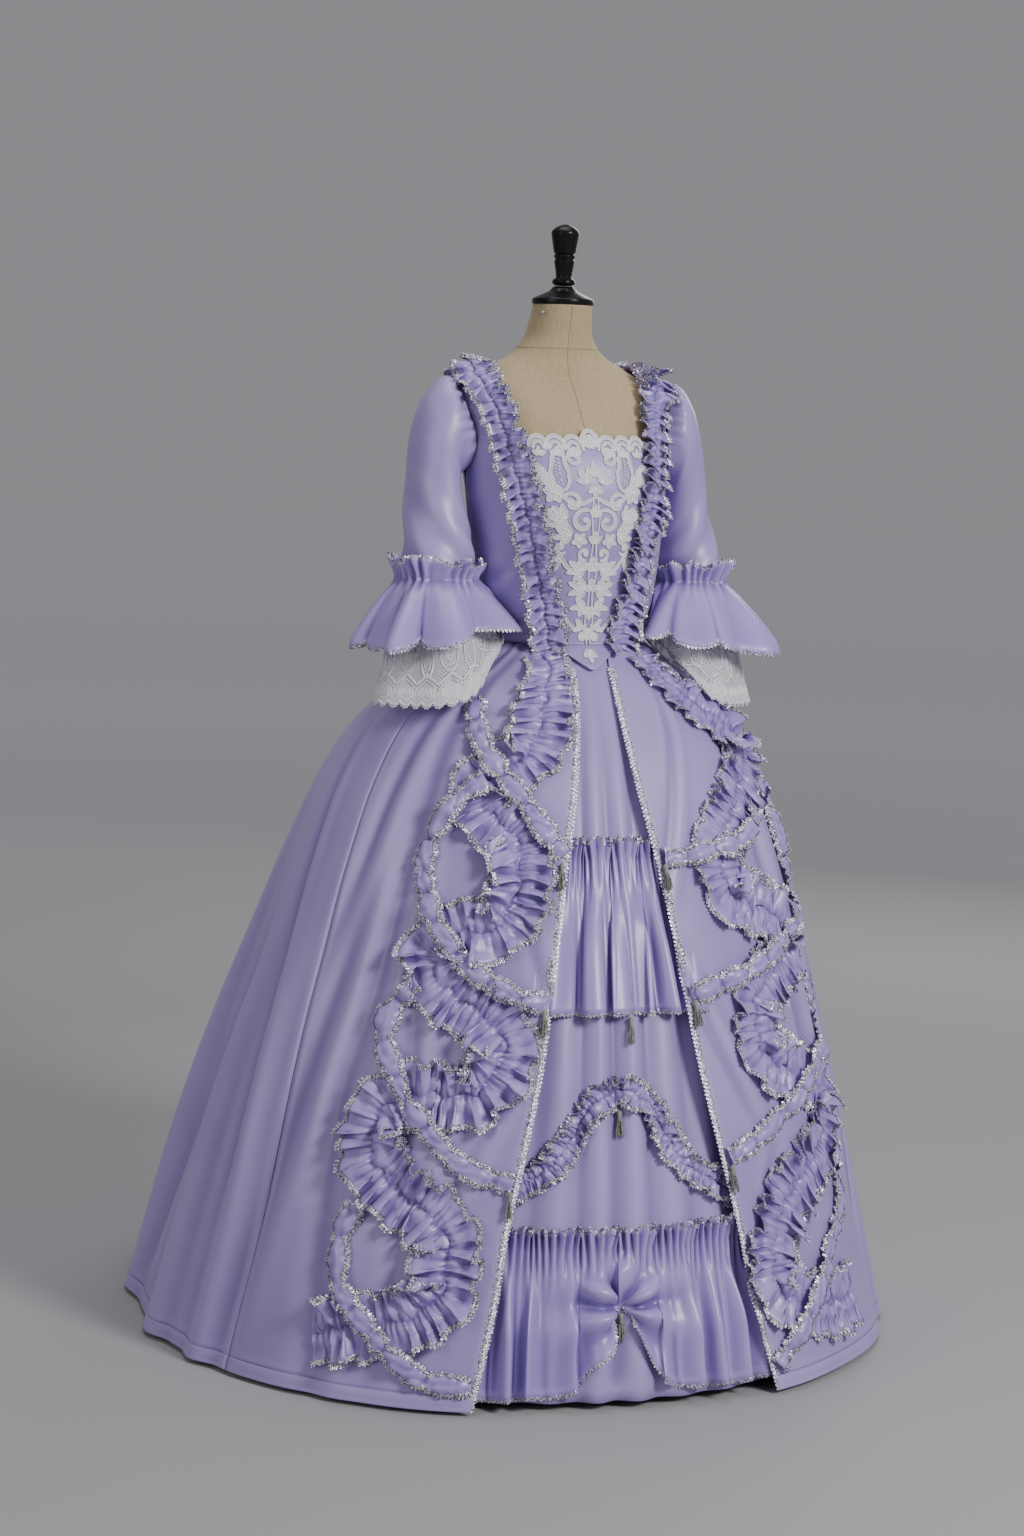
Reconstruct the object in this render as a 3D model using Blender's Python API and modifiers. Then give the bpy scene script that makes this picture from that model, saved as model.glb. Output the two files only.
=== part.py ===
"""Ball gown on a limbless dress form.

Metres, +Z up, origin on the floor under the form's pole. The gown faces -Y and the
wearer's right hand is towards -X. Angles are in degrees round the pole: 0 is the
centre front, 90 the wearer's left side and 180 the centre back.
"""

from collections import namedtuple
from math import pi, radians, tau

import bmesh
import bpy
import numpy as np
from mathutils import Vector

# Heights above the floor
WAIST = 1.066
OVERSKIRT_HEM = 0.006
PETTICOAT_HEM = 0.012
CUFF = 1.160

# Cloth and the gaps between pieces
WALL = 0.0015
TRIM_WALL = 0.0012
SEAM = 0.0004

Section = namedtuple("Section", "height side front back sideways lean")
Inset = namedtuple("Inset", "height depth")
Turn = namedtuple("Turn", "angle height")
Edge = namedtuple("Edge", "height angle")
Fold = namedtuple("Fold", "angle spread depth top")
Hem = namedtuple("Hem", "angle height")
PanelRow = namedtuple("PanelRow", "share near_angle near_height far_angle far_height")
SleeveRing = namedtuple("SleeveRing", "inner_x inner_z outer_x outer_z half_depth middle_y")
LeftRing = namedtuple("LeftRing", "inward outward back")
Turned = namedtuple("Turned", "radius height")
Drop = namedtuple("Drop", "fall spread wave")
BottomRow = namedtuple("BottomRow", "share rise")
FlounceRow = namedtuple("FlounceRow", "height half_angle wave")

# Outer face of the overskirt, level by level
SKIRT = [
    Section(0.000, 0.578, 0.540, 0.860, -0.022, 0.0),
    Section(0.200, 0.530, 0.490, 0.760, -0.020, 0.0),
    Section(0.400, 0.480, 0.435, 0.650, -0.016, 0.0),
    Section(0.600, 0.426, 0.372, 0.545, -0.010, 0.0),
    Section(0.750, 0.384, 0.315, 0.465, -0.004, 0.0),
    Section(0.870, 0.340, 0.255, 0.390, 0.002, 0.0),
    Section(0.950, 0.292, 0.205, 0.310, 0.008, 0.0),
    Section(1.000, 0.235, 0.168, 0.235, 0.012, 0.0),
    Section(1.035, 0.175, 0.136, 0.160, 0.015, 0.0),
    Section(WAIST, 0.128, 0.105, 0.105, 0.017, 0.0),
]

# Outer face of the bodice, then the bare neck of the form
BODY = [
    Section(0.860, 0.165, 0.115, 0.125, 0.012, 0.0),
    Section(0.950, 0.156, 0.112, 0.120, 0.015, 0.0),
    Section(WAIST, 0.128, 0.105, 0.105, 0.017, 0.0),
    Section(1.120, 0.136, 0.112, 0.108, 0.016, 0.0),
    Section(1.190, 0.147, 0.124, 0.110, 0.013, 0.004),
    Section(1.270, 0.156, 0.136, 0.112, 0.009, 0.008),
    Section(1.320, 0.160, 0.134, 0.112, 0.006, 0.006),
    Section(1.380, 0.166, 0.118, 0.108, 0.003, 0.000),
    Section(1.420, 0.172, 0.098, 0.097, 0.000, -0.004),
    Section(1.450, 0.170, 0.078, 0.085, 0.000, -0.010),
    Section(1.470, 0.150, 0.063, 0.074, 0.000, -0.018),
    Section(1.487, 0.112, 0.054, 0.064, 0.000, -0.024),
    Section(1.503, 0.076, 0.050, 0.056, 0.000, -0.027),
    Section(1.525, 0.056, 0.048, 0.051, 0.000, -0.025),
    Section(1.550, 0.049, 0.047, 0.048, 0.000, -0.018),
    Section(1.578, 0.0455, 0.0455, 0.0455, 0.000, -0.009),
]

# How far the form lies inside the bodice's outer face
FORM_INSET = [
    Inset(0.860, 0.0050),
    Inset(WAIST, 0.0050),
    Inset(1.200, 0.0042),
    Inset(1.320, 0.0050),
    Inset(1.400, 0.0068),
    Inset(1.450, 0.0085),
    Inset(1.475, 0.0085),
    Inset(1.492, 0.0040),
    Inset(1.515, 0.0000),
    Inset(1.578, 0.0000),
]

# How far the petticoat's outer face lies inside the overskirt's
PETTICOAT_INSET = [
    Inset(0.000, 0.040),
    Inset(0.200, 0.038),
    Inset(0.400, 0.035),
    Inset(0.600, 0.032),
    Inset(0.750, 0.028),
    Inset(0.870, 0.020),
    Inset(0.950, 0.012),
    Inset(1.000, 0.007),
    Inset(1.035, 0.004),
    Inset(WAIST, 0.0022),
]

# The petticoat's rows are level from the hem up to a height, fading out below it
LEVEL_BELOW = 0.70
LEVEL_FADE = 0.50

# Soft folds of the overskirt: ridges that fade out upwards
FOLDS = [
    Fold(-163, 6.5, 0.022, 1.00),
    Fold(-143, 6.0, 0.026, 1.02),
    Fold(-124, 5.5, 0.020, 0.98),
    Fold(-107, 5.5, 0.024, 1.00),
    Fold(-90, 5.0, 0.018, 0.95),
    Fold(-74, 4.5, 0.014, 0.90),
    Fold(75, 4.5, 0.012, 0.88),
    Fold(91, 5.0, 0.018, 0.96),
    Fold(107, 5.5, 0.022, 1.00),
    Fold(124, 6.0, 0.024, 0.97),
    Fold(144, 6.0, 0.020, 1.02),
    Fold(164, 6.5, 0.024, 1.00),
]

FOLD_FADE = 0.75

# Front edge of the overskirt, either side of the centre front
FRONT_EDGE = [
    Edge(0.000, 24.5),
    Edge(0.080, 22.8),
    Edge(0.160, 21.4),
    Edge(0.250, 20.3),
    Edge(0.350, 18.2),
    Edge(0.480, 15.5),
    Edge(0.600, 13.8),
    Edge(0.750, 11.2),
    Edge(0.880, 8.0),
    Edge(0.960, 7.0),
    Edge(1.030, 9.0),
    Edge(WAIST, 14.0),
]

# Edges of a bodice front: near the centre front, then side seam, armhole and shoulder
BODICE_FRONT = [
    PanelRow(0.00, 25.0, WAIST + SEAM, 89.7, WAIST + SEAM),
    PanelRow(0.12, 27.5, 1.105, 89.7, 1.105),
    PanelRow(0.30, 32.0, 1.170, 89.7, 1.170),
    PanelRow(0.46, 36.5, 1.235, 89.7, 1.235),
    PanelRow(0.60, 41.0, 1.300, 89.7, 1.300),
    PanelRow(0.70, 44.0, 1.345, 84.0, 1.333),
    PanelRow(0.80, 46.0, 1.388, 70.0, 1.365),
    PanelRow(0.88, 48.0, 1.420, 67.5, 1.400),
    PanelRow(0.95, 55.0, 1.452, 74.0, 1.432),
    PanelRow(1.00, 89.4, 1.478, 89.4, 1.448),
]

# The same for a bodice back, from the centre back
BODICE_BACK = [
    PanelRow(0.00, 179.7, WAIST + SEAM, 90.3, WAIST + SEAM),
    PanelRow(0.12, 179.7, 1.115, 90.3, 1.105),
    PanelRow(0.30, 179.7, 1.190, 90.3, 1.170),
    PanelRow(0.46, 179.7, 1.260, 90.3, 1.235),
    PanelRow(0.60, 179.7, 1.330, 90.3, 1.300),
    PanelRow(0.70, 179.7, 1.370, 97.0, 1.333),
    PanelRow(0.80, 179.7, 1.405, 110.0, 1.365),
    PanelRow(0.88, 179.7, 1.430, 113.0, 1.400),
    PanelRow(0.95, 150.0, 1.452, 106.0, 1.432),
    PanelRow(1.00, 90.6, 1.478, 90.6, 1.448),
]

# Edge of the stomacher's tip, below the bodice fronts
STOMACHER_TIP = [
    Edge(1.030, 0.8),
    Edge(1.044, 9.0),
    Edge(1.056, 17.0),
    Edge(WAIST, 24.5),
]
TIP_LIFT = 0.0036
TIP_SWELL_LOW = 1.062
TIP_SWELL_SPAN = 0.035

# Centre line of a robing: centre back neck, over the shoulder, down to the waist
ROBING = [
    Turn(178.0, 1.438),
    Turn(150.0, 1.456),
    Turn(120.0, 1.472),
    Turn(90.0, 1.476),
    Turn(66.0, 1.466),
    Turn(52.0, 1.446),
    Turn(46.5, 1.412),
    Turn(45.0, 1.368),
    Turn(42.5, 1.320),
    Turn(38.5, 1.265),
    Turn(34.5, 1.208),
    Turn(30.5, 1.148),
    Turn(27.0, 1.085),
]
ROBING_HALF_WIDTH = 0.022
ROBING_WAVES = 13

# Centre lines of the wide ruffles, from the waist to the hem
WIDE_RUFFLE_RIGHT = [
    Turn(-27.0, 1.052),
    Turn(-21.5, 1.028),
    Turn(-18.5, 0.989),
    Turn(-18.5, 0.947),
    Turn(-21.5, 0.912),
    Turn(-28.5, 0.889),
    Turn(-32.5, 0.861),
    Turn(-29.0, 0.827),
    Turn(-23.0, 0.800),
    Turn(-21.0, 0.752),
    Turn(-22.5, 0.699),
    Turn(-26.5, 0.670),
    Turn(-33.5, 0.661),
    Turn(-38.5, 0.635),
    Turn(-37.0, 0.599),
    Turn(-31.5, 0.569),
    Turn(-25.5, 0.543),
    Turn(-22.5, 0.503),
    Turn(-24.5, 0.458),
    Turn(-29.5, 0.436),
    Turn(-36.5, 0.436),
    Turn(-42.5, 0.420),
    Turn(-45.0, 0.382),
    Turn(-43.5, 0.334),
    Turn(-38.0, 0.295),
    Turn(-32.5, 0.267),
    Turn(-29.5, 0.226),
    Turn(-29.5, 0.178),
    Turn(-33.0, 0.137),
    Turn(-38.5, 0.115),
    Turn(-44.5, 0.107),
    Turn(-50.0, 0.090),
]
WIDE_RUFFLE_LEFT = [
    Turn(35.0, 1.048),
    Turn(35.5, 1.018),
    Turn(38.5, 0.990),
    Turn(46.5, 0.961),
    Turn(53.0, 0.926),
    Turn(50.0, 0.888),
    Turn(42.0, 0.851),
    Turn(33.5, 0.811),
    Turn(28.0, 0.766),
    Turn(28.5, 0.720),
    Turn(36.5, 0.691),
    Turn(46.5, 0.666),
    Turn(52.5, 0.633),
    Turn(46.5, 0.607),
    Turn(37.5, 0.587),
    Turn(31.5, 0.549),
    Turn(31.0, 0.499),
    Turn(35.5, 0.459),
    Turn(44.0, 0.437),
    Turn(50.5, 0.399),
    Turn(49.0, 0.356),
    Turn(43.0, 0.320),
    Turn(36.0, 0.292),
    Turn(30.5, 0.257),
    Turn(27.0, 0.209),
    Turn(26.5, 0.163),
    Turn(30.5, 0.126),
    Turn(38.0, 0.106),
    Turn(48.0, 0.102),
]
WIDE_HALF_WIDTH = 0.044
WIDE_WAVES = 32

# Narrow puffed ribbons that weave over the wide ruffles to the front edge
RIBBONS_RIGHT = [
    [Turn(-43.5, 0.985), Turn(-38.5, 0.952), Turn(-33.5, 0.914), Turn(-27, 0.877),
     Turn(-21, 0.839), Turn(-16, 0.800), Turn(-12.9, 0.776)],
    [Turn(-31, 0.868), Turn(-37, 0.845), Turn(-42, 0.803), Turn(-43.5, 0.753), Turn(-41, 0.702),
     Turn(-36, 0.650), Turn(-28.5, 0.602), Turn(-21, 0.575), Turn(-16.9, 0.562)],
    [Turn(-39.5, 0.588), Turn(-44.5, 0.557), Turn(-46, 0.515), Turn(-43.5, 0.470),
     Turn(-39, 0.420), Turn(-34, 0.378), Turn(-28, 0.337), Turn(-22, 0.312)],
    [Turn(-45.5, 0.275), Turn(-47.5, 0.230), Turn(-47, 0.180), Turn(-43.5, 0.132),
     Turn(-37, 0.080), Turn(-31.5, 0.046), Turn(-27.5, 0.034)],
]
RIBBONS_LEFT = [
    [Turn(46.5, 0.829), Turn(41, 0.799), Turn(34, 0.782), Turn(26.5, 0.774), Turn(20, 0.768),
     Turn(15.2, 0.758)],
    [Turn(56.5, 0.850), Turn(61, 0.800), Turn(62, 0.738), Turn(58.5, 0.682), Turn(49, 0.642),
     Turn(38, 0.616), Turn(27.5, 0.595), Turn(18.5, 0.574)],
    [Turn(60, 0.564), Turn(60.5, 0.514), Turn(56, 0.471), Turn(45, 0.439), Turn(37, 0.402),
     Turn(29, 0.368), Turn(21.8, 0.338)],
    [Turn(48.5, 0.315), Turn(51.5, 0.272), Turn(49.5, 0.230), Turn(43.5, 0.189), Turn(37, 0.145),
     Turn(31.5, 0.097), Turn(26, 0.062)],
]
RIBBON_HALF_WIDTH = 0.014
RIBBON_PINCH = 0.009
RIBBON_PUFF = 0.005
RIBBON_OVER = 0.0085
RIBBON_MARGIN = 0.008
RIBBON_CLIMB = 0.025
RIBBON_PITCH = 0.085

# The ruched garland on the petticoat
GARLAND = [
    Turn(-23.0, 0.300),
    Turn(-19.0, 0.312),
    Turn(-14.0, 0.334),
    Turn(-9.5, 0.378),
    Turn(-5.5, 0.424),
    Turn(0.0, 0.446),
    Turn(5.5, 0.424),
    Turn(9.0, 0.374),
    Turn(12.5, 0.334),
    Turn(17.0, 0.312),
    Turn(22.0, 0.284),
]
GARLAND_HALF_WIDTH = 0.022
GARLAND_WAVES = 12
GARLAND_RISE = 0.010

# Hem of the bottom flounce, lifted in a swag at the centre front
SWAG = [
    Hem(-28.0, 0.014),
    Hem(-17.0, 0.018),
    Hem(-9.0, 0.030),
    Hem(-4.5, 0.080),
    Hem(-1.0, 0.140),
    Hem(2.0, 0.090),
    Hem(5.0, 0.038),
    Hem(12.0, 0.024),
    Hem(27.0, 0.020),
]

BOTTOM_HALF_ANGLE = 27.0
BOTTOM_GATHER = 0.222
BOTTOM_WAVES = 11
HEADER = 0.022
BOTTOM_FLOUNCE = [
    BottomRow(0.00, 0.014),
    BottomRow(0.45, 0.011),
    BottomRow(0.80, 0.004),
    BottomRow(1.00, 0.000),
    BottomRow(1.10, 0.005),
]

# The upper flounce, from its hem to its header
UPPER_FLOUNCE = [
    FlounceRow(0.556, 21.0, 0.013),
    FlounceRow(0.650, 20.0, 0.010),
    FlounceRow(0.735, 19.0, 0.004),
    FlounceRow(0.772, 18.5, 0.000),
    FlounceRow(0.794, 18.5, 0.005),
]
UPPER_WAVES = 8

# Rings of the right sleeve from the armhole down to the cuff; x is measured away from the body
SLEEVE = [
    SleeveRing(0.169, 1.306, 0.191, 1.462, 0.062, -0.002),
    SleeveRing(0.166, 1.288, 0.222, 1.434, 0.064, -0.006),
    SleeveRing(0.160, 1.264, 0.239, 1.384, 0.064, -0.010),
    SleeveRing(0.153, 1.238, 0.246, 1.324, 0.062, -0.016),
    SleeveRing(0.147, 1.210, 0.252, 1.258, 0.059, -0.024),
    SleeveRing(0.145, 1.184, 0.257, 1.202, 0.057, -0.031),
    SleeveRing(0.145, CUFF, 0.260, CUFF, 0.056, -0.036),
]

# How the left sleeve differs: its inner side and outer side further out, and the whole further back
LEFT_SLEEVE = [
    LeftRing(0.006, -0.004, 0.002),
    LeftRing(0.009, -0.012, 0.010),
    LeftRing(0.013, -0.010, 0.022),
    LeftRing(0.018, -0.004, 0.030),
    LeftRing(0.022, 0.002, 0.034),
    LeftRing(0.026, 0.010, 0.034),
    LeftRing(0.027, 0.014, 0.034),
]
ARMHOLE_MIDDLE = Turn(90.0, 1.390)
ARMHOLE_HALF = Turn(24.0, 0.066)
SLEEVE_SEAT = 0.0035

# The cuff's satin flounce and the lace under it: header, gathers, then down to the hem
FLOUNCE_DROP = [
    Drop(-0.026, 0.0100, 0.003),
    Drop(-0.004, 0.0030, 0.000),
    Drop(0.022, 0.0200, 0.004),
    Drop(0.058, 0.0400, 0.009),
    Drop(0.094, 0.0550, 0.013),
]
LACE_DROP = [
    Drop(0.0007, -0.0010, 0.000),
    Drop(0.050, 0.0060, 0.002),
    Drop(0.118, 0.0220, 0.005),
    Drop(0.190, 0.0360, 0.008),
]
FLOUNCE_WAVES = 8
LACE_WAVES = 4
FRILL_FORWARD = 0.16
INNER_NARROWING = 3

# How much shorter each hangs at its inner side, and its clearance from the bodice and the skirt
FLOUNCE_FIT = (0.15, 0.003, 0.010)
LACE_FIT = (0.45, 0.008, 0.022)
LEAST_REACH = 0.2

LACE_SPLIT = 0.05
LACE_BAR = 0.004

# The stomacher's lace
LACE_BOTTOM = 1.050
LACE_TOP = 1.370
LACE_ROWS = 12
LACE_COLUMNS = 8
LACE_EDGE = 11.5
LACE_LIFT = 0.0024
LACE_SCALLOP = 0.007

# Gaps between a trim and the cloth it lies on, wider where the trim's faces are wide
TRIM_SEAT = 0.0008
FLOUNCE_SEAT = 0.0015 + WALL
BOTTOM_SEAT = 0.0010 + WALL
RIBBON_SEAT = 0.0008
WIDE_SEAT = 0.0024
ROBING_SEAT = 0.0014

# Ruching: how far the edges and the middle stand out, and the room kept on the inside of bends
WIDE_RISE = 0.018
WIDE_START = 0.16
RISE_START = 0.30
WIDE_LEAST = 0.3
PRESSED_REACH = 0.030
ROBING_RISE = 0.011
MIDDLE_SHARE = 0.2
BEND_ROOM = 0.75

# Braid on the overskirt's front edges
BRAID_INSET = 0.0015
BRAID_WIDTH = 0.012

# Tassels at the ends of the ribbons, and down the centre of the petticoat
TASSEL_HEAD = 0.0042
TASSEL_CROWN = 0.0019
TASSEL_HEAD_HEIGHT = 0.0067
TASSEL_LENGTH = 0.024
TASSEL_STRANDS = 6
TASSEL_ROOT_GAP = 0.0004
TASSEL_FLARE = 0.35
TASSEL_REST = 0.0048
TASSELS_RIGHT = [0.752, 0.550, 0.300]
TASSELS_LEFT = [0.748, 0.556, 0.322]
TASSELS_CENTRE = [Turn(2.5, 0.540), Turn(0.0, 0.408), Turn(-1.0, 0.124)]

# The dress form's stand, cap and finial
FORM_BOTTOM = 0.860
NECK_TOP = 1.578
POLE_RADIUS = 0.0175
POLE_TOP = 0.8594
BASE_TOP = 0.030
BASE_PROFILE = [
    Turned(0.000, BASE_TOP),
    Turned(0.045, BASE_TOP),
    Turned(0.060, 0.024),
    Turned(0.178, 0.016),
    Turned(0.190, 0.011),
    Turned(0.190, 0.000),
    Turned(0.000, 0.000),
]
POLE_PROFILE = [
    Turned(0.000, POLE_TOP),
    Turned(POLE_RADIUS, POLE_TOP),
    Turned(POLE_RADIUS, BASE_TOP + SEAM),
    Turned(0.000, BASE_TOP + SEAM),
]
CAP_PROFILE = [
    Turned(0.0000, 1.6065),
    Turned(0.0150, 1.6060),
    Turned(0.0220, 1.5985),
    Turned(0.0450, 1.5880),
    Turned(0.0475, 1.5860),
    Turned(0.0475, 1.5795),
    Turned(0.0455, NECK_TOP + SEAM),
    Turned(0.0000, NECK_TOP + SEAM),
]
FINIAL_PROFILE = [
    Turned(0.0000, 1.7000),
    Turned(0.0080, 1.6985),
    Turned(0.0205, 1.6915),
    Turned(0.0215, 1.6860),
    Turned(0.0170, 1.6580),
    Turned(0.0150, 1.6550),
    Turned(0.0165, 1.6520),
    Turned(0.0145, 1.6460),
    Turned(0.0155, 1.6430),
    Turned(0.0120, 1.6200),
    Turned(0.0175, 1.6150),
    Turned(0.0175, 1.6100),
    Turned(0.0130, 1.6068),
    Turned(0.0000, 1.6068),
]

# Levels at which each piece is cut into rows
SKIRT_LEVELS = [OVERSKIRT_HEM, 0.10, 0.20, 0.30, 0.40, 0.50, 0.60, 0.75, 0.87, 0.95, 1.00, 1.035,
                WAIST - SEAM]
BACK_LEVELS = [OVERSKIRT_HEM, 0.20, 0.40, 0.60, 0.75, 0.87, 0.95, 1.00, 1.035, WAIST - SEAM]
FORM_LEVELS = [FORM_BOTTOM, 0.95, 1.01, 1.066, 1.12, 1.19, 1.26, 1.32, 1.38, 1.42, 1.445, 1.462,
               1.475, 1.487, 1.503, 1.530, NECK_TOP]
PETTICOAT_LEVELS = [PETTICOAT_HEM, *BACK_LEVELS[1:]]
STOMACHER_LEVELS = [1.030, 1.042, 1.055, 1.067, 1.085, 1.11, 1.15, 1.19, 1.23, 1.27, 1.31, 1.345,
                    1.376]
BODICE_SHARES = [0.0, 0.12, 0.24, 0.36, 0.48, 0.60, 0.70, 0.78, 0.85, 0.91, 0.94, 0.96, 0.98, 1.0]

# Side seams of the skirt and the gaps left at the edges of panels, in degrees
SIDE_SEAM = 66.0
PETTICOAT_FRONT = 32.0
FORM_COLUMNS = 20
FRONT_COLUMNS = 11
BACK_COLUMNS = 24
SEAM_ANGLE = 0.20
STOMACHER_SEAM = 0.4

SHARP_ANGLE = 26.0

# Colour, roughness and metallic value of each material
LOOKS = {
    "satin": ((0.36, 0.30, 0.62), 0.35, 0.0),
    "lace": ((0.86, 0.85, 0.86), 0.80, 0.0),
    "braid": ((0.62, 0.62, 0.68), 0.40, 0.3),
    "linen": ((0.60, 0.50, 0.36), 0.90, 0.0),
    "black_wood": ((0.012, 0.012, 0.013), 0.22, 0.0),
    "iron": ((0.03, 0.03, 0.032), 0.45, 0.6),
    "tassel": ((0.27, 0.27, 0.22), 0.75, 0.0),
}


def blend(rows, place):
    """The rows' other columns at places along their first, smoothly and with no overshoot."""
    table = np.array(sorted(rows), float)
    x, y = table[:, 0], table[:, 1:]
    slope = np.diff(y, axis=0) / np.diff(x)[:, None]
    before, after = slope[:-1], slope[1:]
    least = np.minimum(np.abs(before), np.abs(after))
    steady = np.sign(before) * np.minimum(np.abs(before + after) / 2, 3 * least)
    lean = np.vstack([slope[:1], np.where(before * after > 0, steady, 0.0), slope[-1:]])
    place = np.clip(np.asarray(place, float), x[0], x[-1])
    k = np.clip(np.searchsorted(x, place, side="right") - 1, 0, len(x) - 2)
    step = (x[k + 1] - x[k])[..., None]
    s = (place - x[k])[..., None] / step
    start = (2 * s**3 - 3 * s**2 + 1) * y[k] + (s**3 - 2 * s**2 + s) * step * lean[k]
    end = (3 * s**2 - 2 * s**3) * y[k + 1] + (s**3 - s**2) * step * lean[k + 1]
    return start + end


def ease(x):
    """0 below 0, 1 above 1 and a smooth rise between."""
    x = np.clip(x, 0, 1)
    return x * x * (3 - 2 * x)


def section_point(rows, angle, height):
    """Points of a body given by its level sections."""
    angle, height = np.broadcast_arrays(np.asarray(angle, float), np.asarray(height, float))
    side, front, back, sideways, lean = np.moveaxis(blend(rows, height), -1, 0)
    a = np.radians(angle)
    depth = np.where(np.cos(a) > 0, front, back)
    return np.stack([side * np.sin(a) + sideways, -depth * np.cos(a) - lean, height], -1)


def directions(surface, angle, height):
    """The surface's steps per degree and per metre of height, and its outward normal."""
    turn = surface(angle + 0.5, height) - surface(angle - 0.5, height)
    rise = (surface(angle, height + 0.002) - surface(angle, height - 0.002)) / 0.004
    normal = np.cross(turn, rise)
    return turn, rise, normal / np.linalg.norm(normal, axis=-1, keepdims=True)


def lifted(surface, angle, height, lift):
    """Points of a surface moved out along its normal."""
    angle, height = np.broadcast_arrays(np.asarray(angle, float), np.asarray(height, float))
    normal = directions(surface, angle, height)[2]
    return surface(angle, height) + normal * np.asarray(lift)[..., None]


def body(angle, height):
    """Outer face of the bodice, and of the form's neck."""
    return section_point(BODY, angle, height)


def plain_skirt(angle, height):
    """Outer face of the overskirt without its folds."""
    return section_point(SKIRT, angle, height)


def skirt(angle, height):
    """Outer face of the overskirt."""
    out = np.zeros(np.broadcast(angle, height).shape)
    for fold in FOLDS:
        crest = np.clip((angle - fold.angle) / fold.spread, -1, 1)
        ridge = np.cos(crest * pi / 2) ** 2
        out = out + fold.depth * ridge * ease((fold.top - height) / FOLD_FADE)
    points = lifted(plain_skirt, angle, height, out)
    points[..., 2] = height
    return points


def petticoat(angle, height):
    """Outer face of the petticoat."""
    inset = blend(PETTICOAT_INSET, height)[..., 0]
    points = lifted(plain_skirt, angle, height, -inset)
    points[..., 2] += (height - points[..., 2]) * ease((LEVEL_BELOW - height) / LEVEL_FADE)
    return points


def dress_form(angle, height):
    """Outer face of the form's torso and neck."""
    inset = blend(FORM_INSET, height)[..., 0]
    return lifted(body, angle, height, -inset)


def on_rows(surface, levels):
    """The surface as a panel with these rows has it: straight between them."""
    levels = np.array(levels)

    def straight(angle, height):
        angle, height = np.broadcast_arrays(np.asarray(angle, float), np.asarray(height, float))
        k = np.clip(np.searchsorted(levels, height) - 1, 0, len(levels) - 2)
        low, high = levels[k], levels[k + 1]
        share = ((height - low) / (high - low))[..., None]
        return surface(angle, low) * (1 - share) + surface(angle, high) * share

    return straight


def skirt_rows(angle, height):
    """The overskirt's front panels, which the trims lie on."""
    return on_rows(skirt, SKIRT_LEVELS)(angle, height)


def petticoat_rows(angle, height):
    """The petticoat, which the flounces and the garland lie on."""
    return on_rows(petticoat, PETTICOAT_LEVELS)(angle, height)


def gown_front(angle, height):
    """The bodice above the waist and the overskirt below it."""
    above = body(angle, np.maximum(height, WAIST))
    below = plain_skirt(angle, np.minimum(height, WAIST))
    return np.where((np.asarray(height) >= WAIST)[..., None], above, below)


def tip_lift(height):
    """How far the stomacher's tip stands off, so that it lies over the overskirt."""
    return TIP_LIFT * (1 - ease((height - TIP_SWELL_LOW) / TIP_SWELL_SPAN))


def front_edge(height):
    """Angle of the overskirt's front edge."""
    return float(blend(FRONT_EDGE, height)[0])


def per_degree(surface, angle, height):
    """Length of one degree of a surface."""
    return np.linalg.norm(directions(surface, angle, height)[0])


def skirt_top(x, y):
    """Height at which the skirt passes over points of the floor plan."""
    heights = np.linspace(WAIST, 0.5, 220)
    side, front, back, sideways, _ = np.moveaxis(blend(SKIRT, heights), -1, 0)
    across = (np.ravel(x)[:, None] - sideways) / side
    deep = np.ravel(y)[:, None]
    deep = deep / np.where(deep < 0, front, back)
    inside = across**2 + deep**2 < 1
    found = np.where(inside.any(axis=1), heights[np.argmax(inside, axis=1)], 0.0)
    return found.reshape(np.shape(x))


def clear_of_body(points, gap):
    """The points, with those that would meet the bodice pushed straight out from it."""
    height = np.maximum(points[..., 2], WAIST)
    side, front, back, sideways, lean = np.moveaxis(blend(BODY, height), -1, 0)
    x, y = points[..., 0] - sideways, points[..., 1] + lean
    depth = np.where(y < 0, front, back) + gap
    reach = np.hypot(x / (side + gap), y / depth)
    push = np.maximum(1 / np.maximum(reach, LEAST_REACH), 1.0)
    return np.stack([x * push + sideways, y * push - lean, points[..., 2]], -1)


def clear_of_skirt(points, gap):
    """The points, with those that would meet the skirt lifted onto it."""
    floor = skirt_top(points[..., 0], points[..., 1]) + gap
    return np.stack([points[..., 0], points[..., 1], np.maximum(points[..., 2], floor)], -1)


def placed(name, mesh, look):
    """A smooth-shaded object with its own material, in the gown's collection."""
    mesh.shade_smooth()
    mesh.set_sharp_from_angle(angle=radians(SHARP_ANGLE))
    colour, roughness, metallic = LOOKS[look]
    material = bpy.data.materials.new(f"{name}_{look}")
    material.use_nodes = True
    shader = material.node_tree.nodes["Principled BSDF"]
    shader.inputs["Base Color"].default_value = (*colour, 1.0)
    shader.inputs["Roughness"].default_value = roughness
    shader.inputs["Metallic"].default_value = metallic
    mesh.materials.append(material)
    obj = bpy.data.objects.new(name, mesh)
    bpy.data.collections["ball_gown"].objects.link(obj)
    return obj


def from_bmesh(name, shape, look):
    mesh = bpy.data.meshes.new(name)
    shape.to_mesh(mesh)
    shape.free()
    return placed(name, mesh, look)


def grid(points, around=False):
    """An open net of faces over rows and columns of points, and its cells by row and column."""
    shape = bmesh.new()
    net = [[shape.verts.new(point) for point in row] for row in points]
    columns = len(net[0])
    cells = {}
    for i in range(len(net) - 1):
        for j in range(columns if around else columns - 1):
            k = (j + 1) % columns
            corners = (net[i][j], net[i][k], net[i + 1][k], net[i + 1][j])
            cells[i, j] = shape.faces.new(corners)
    shape.normal_update()
    return shape, cells


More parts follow.
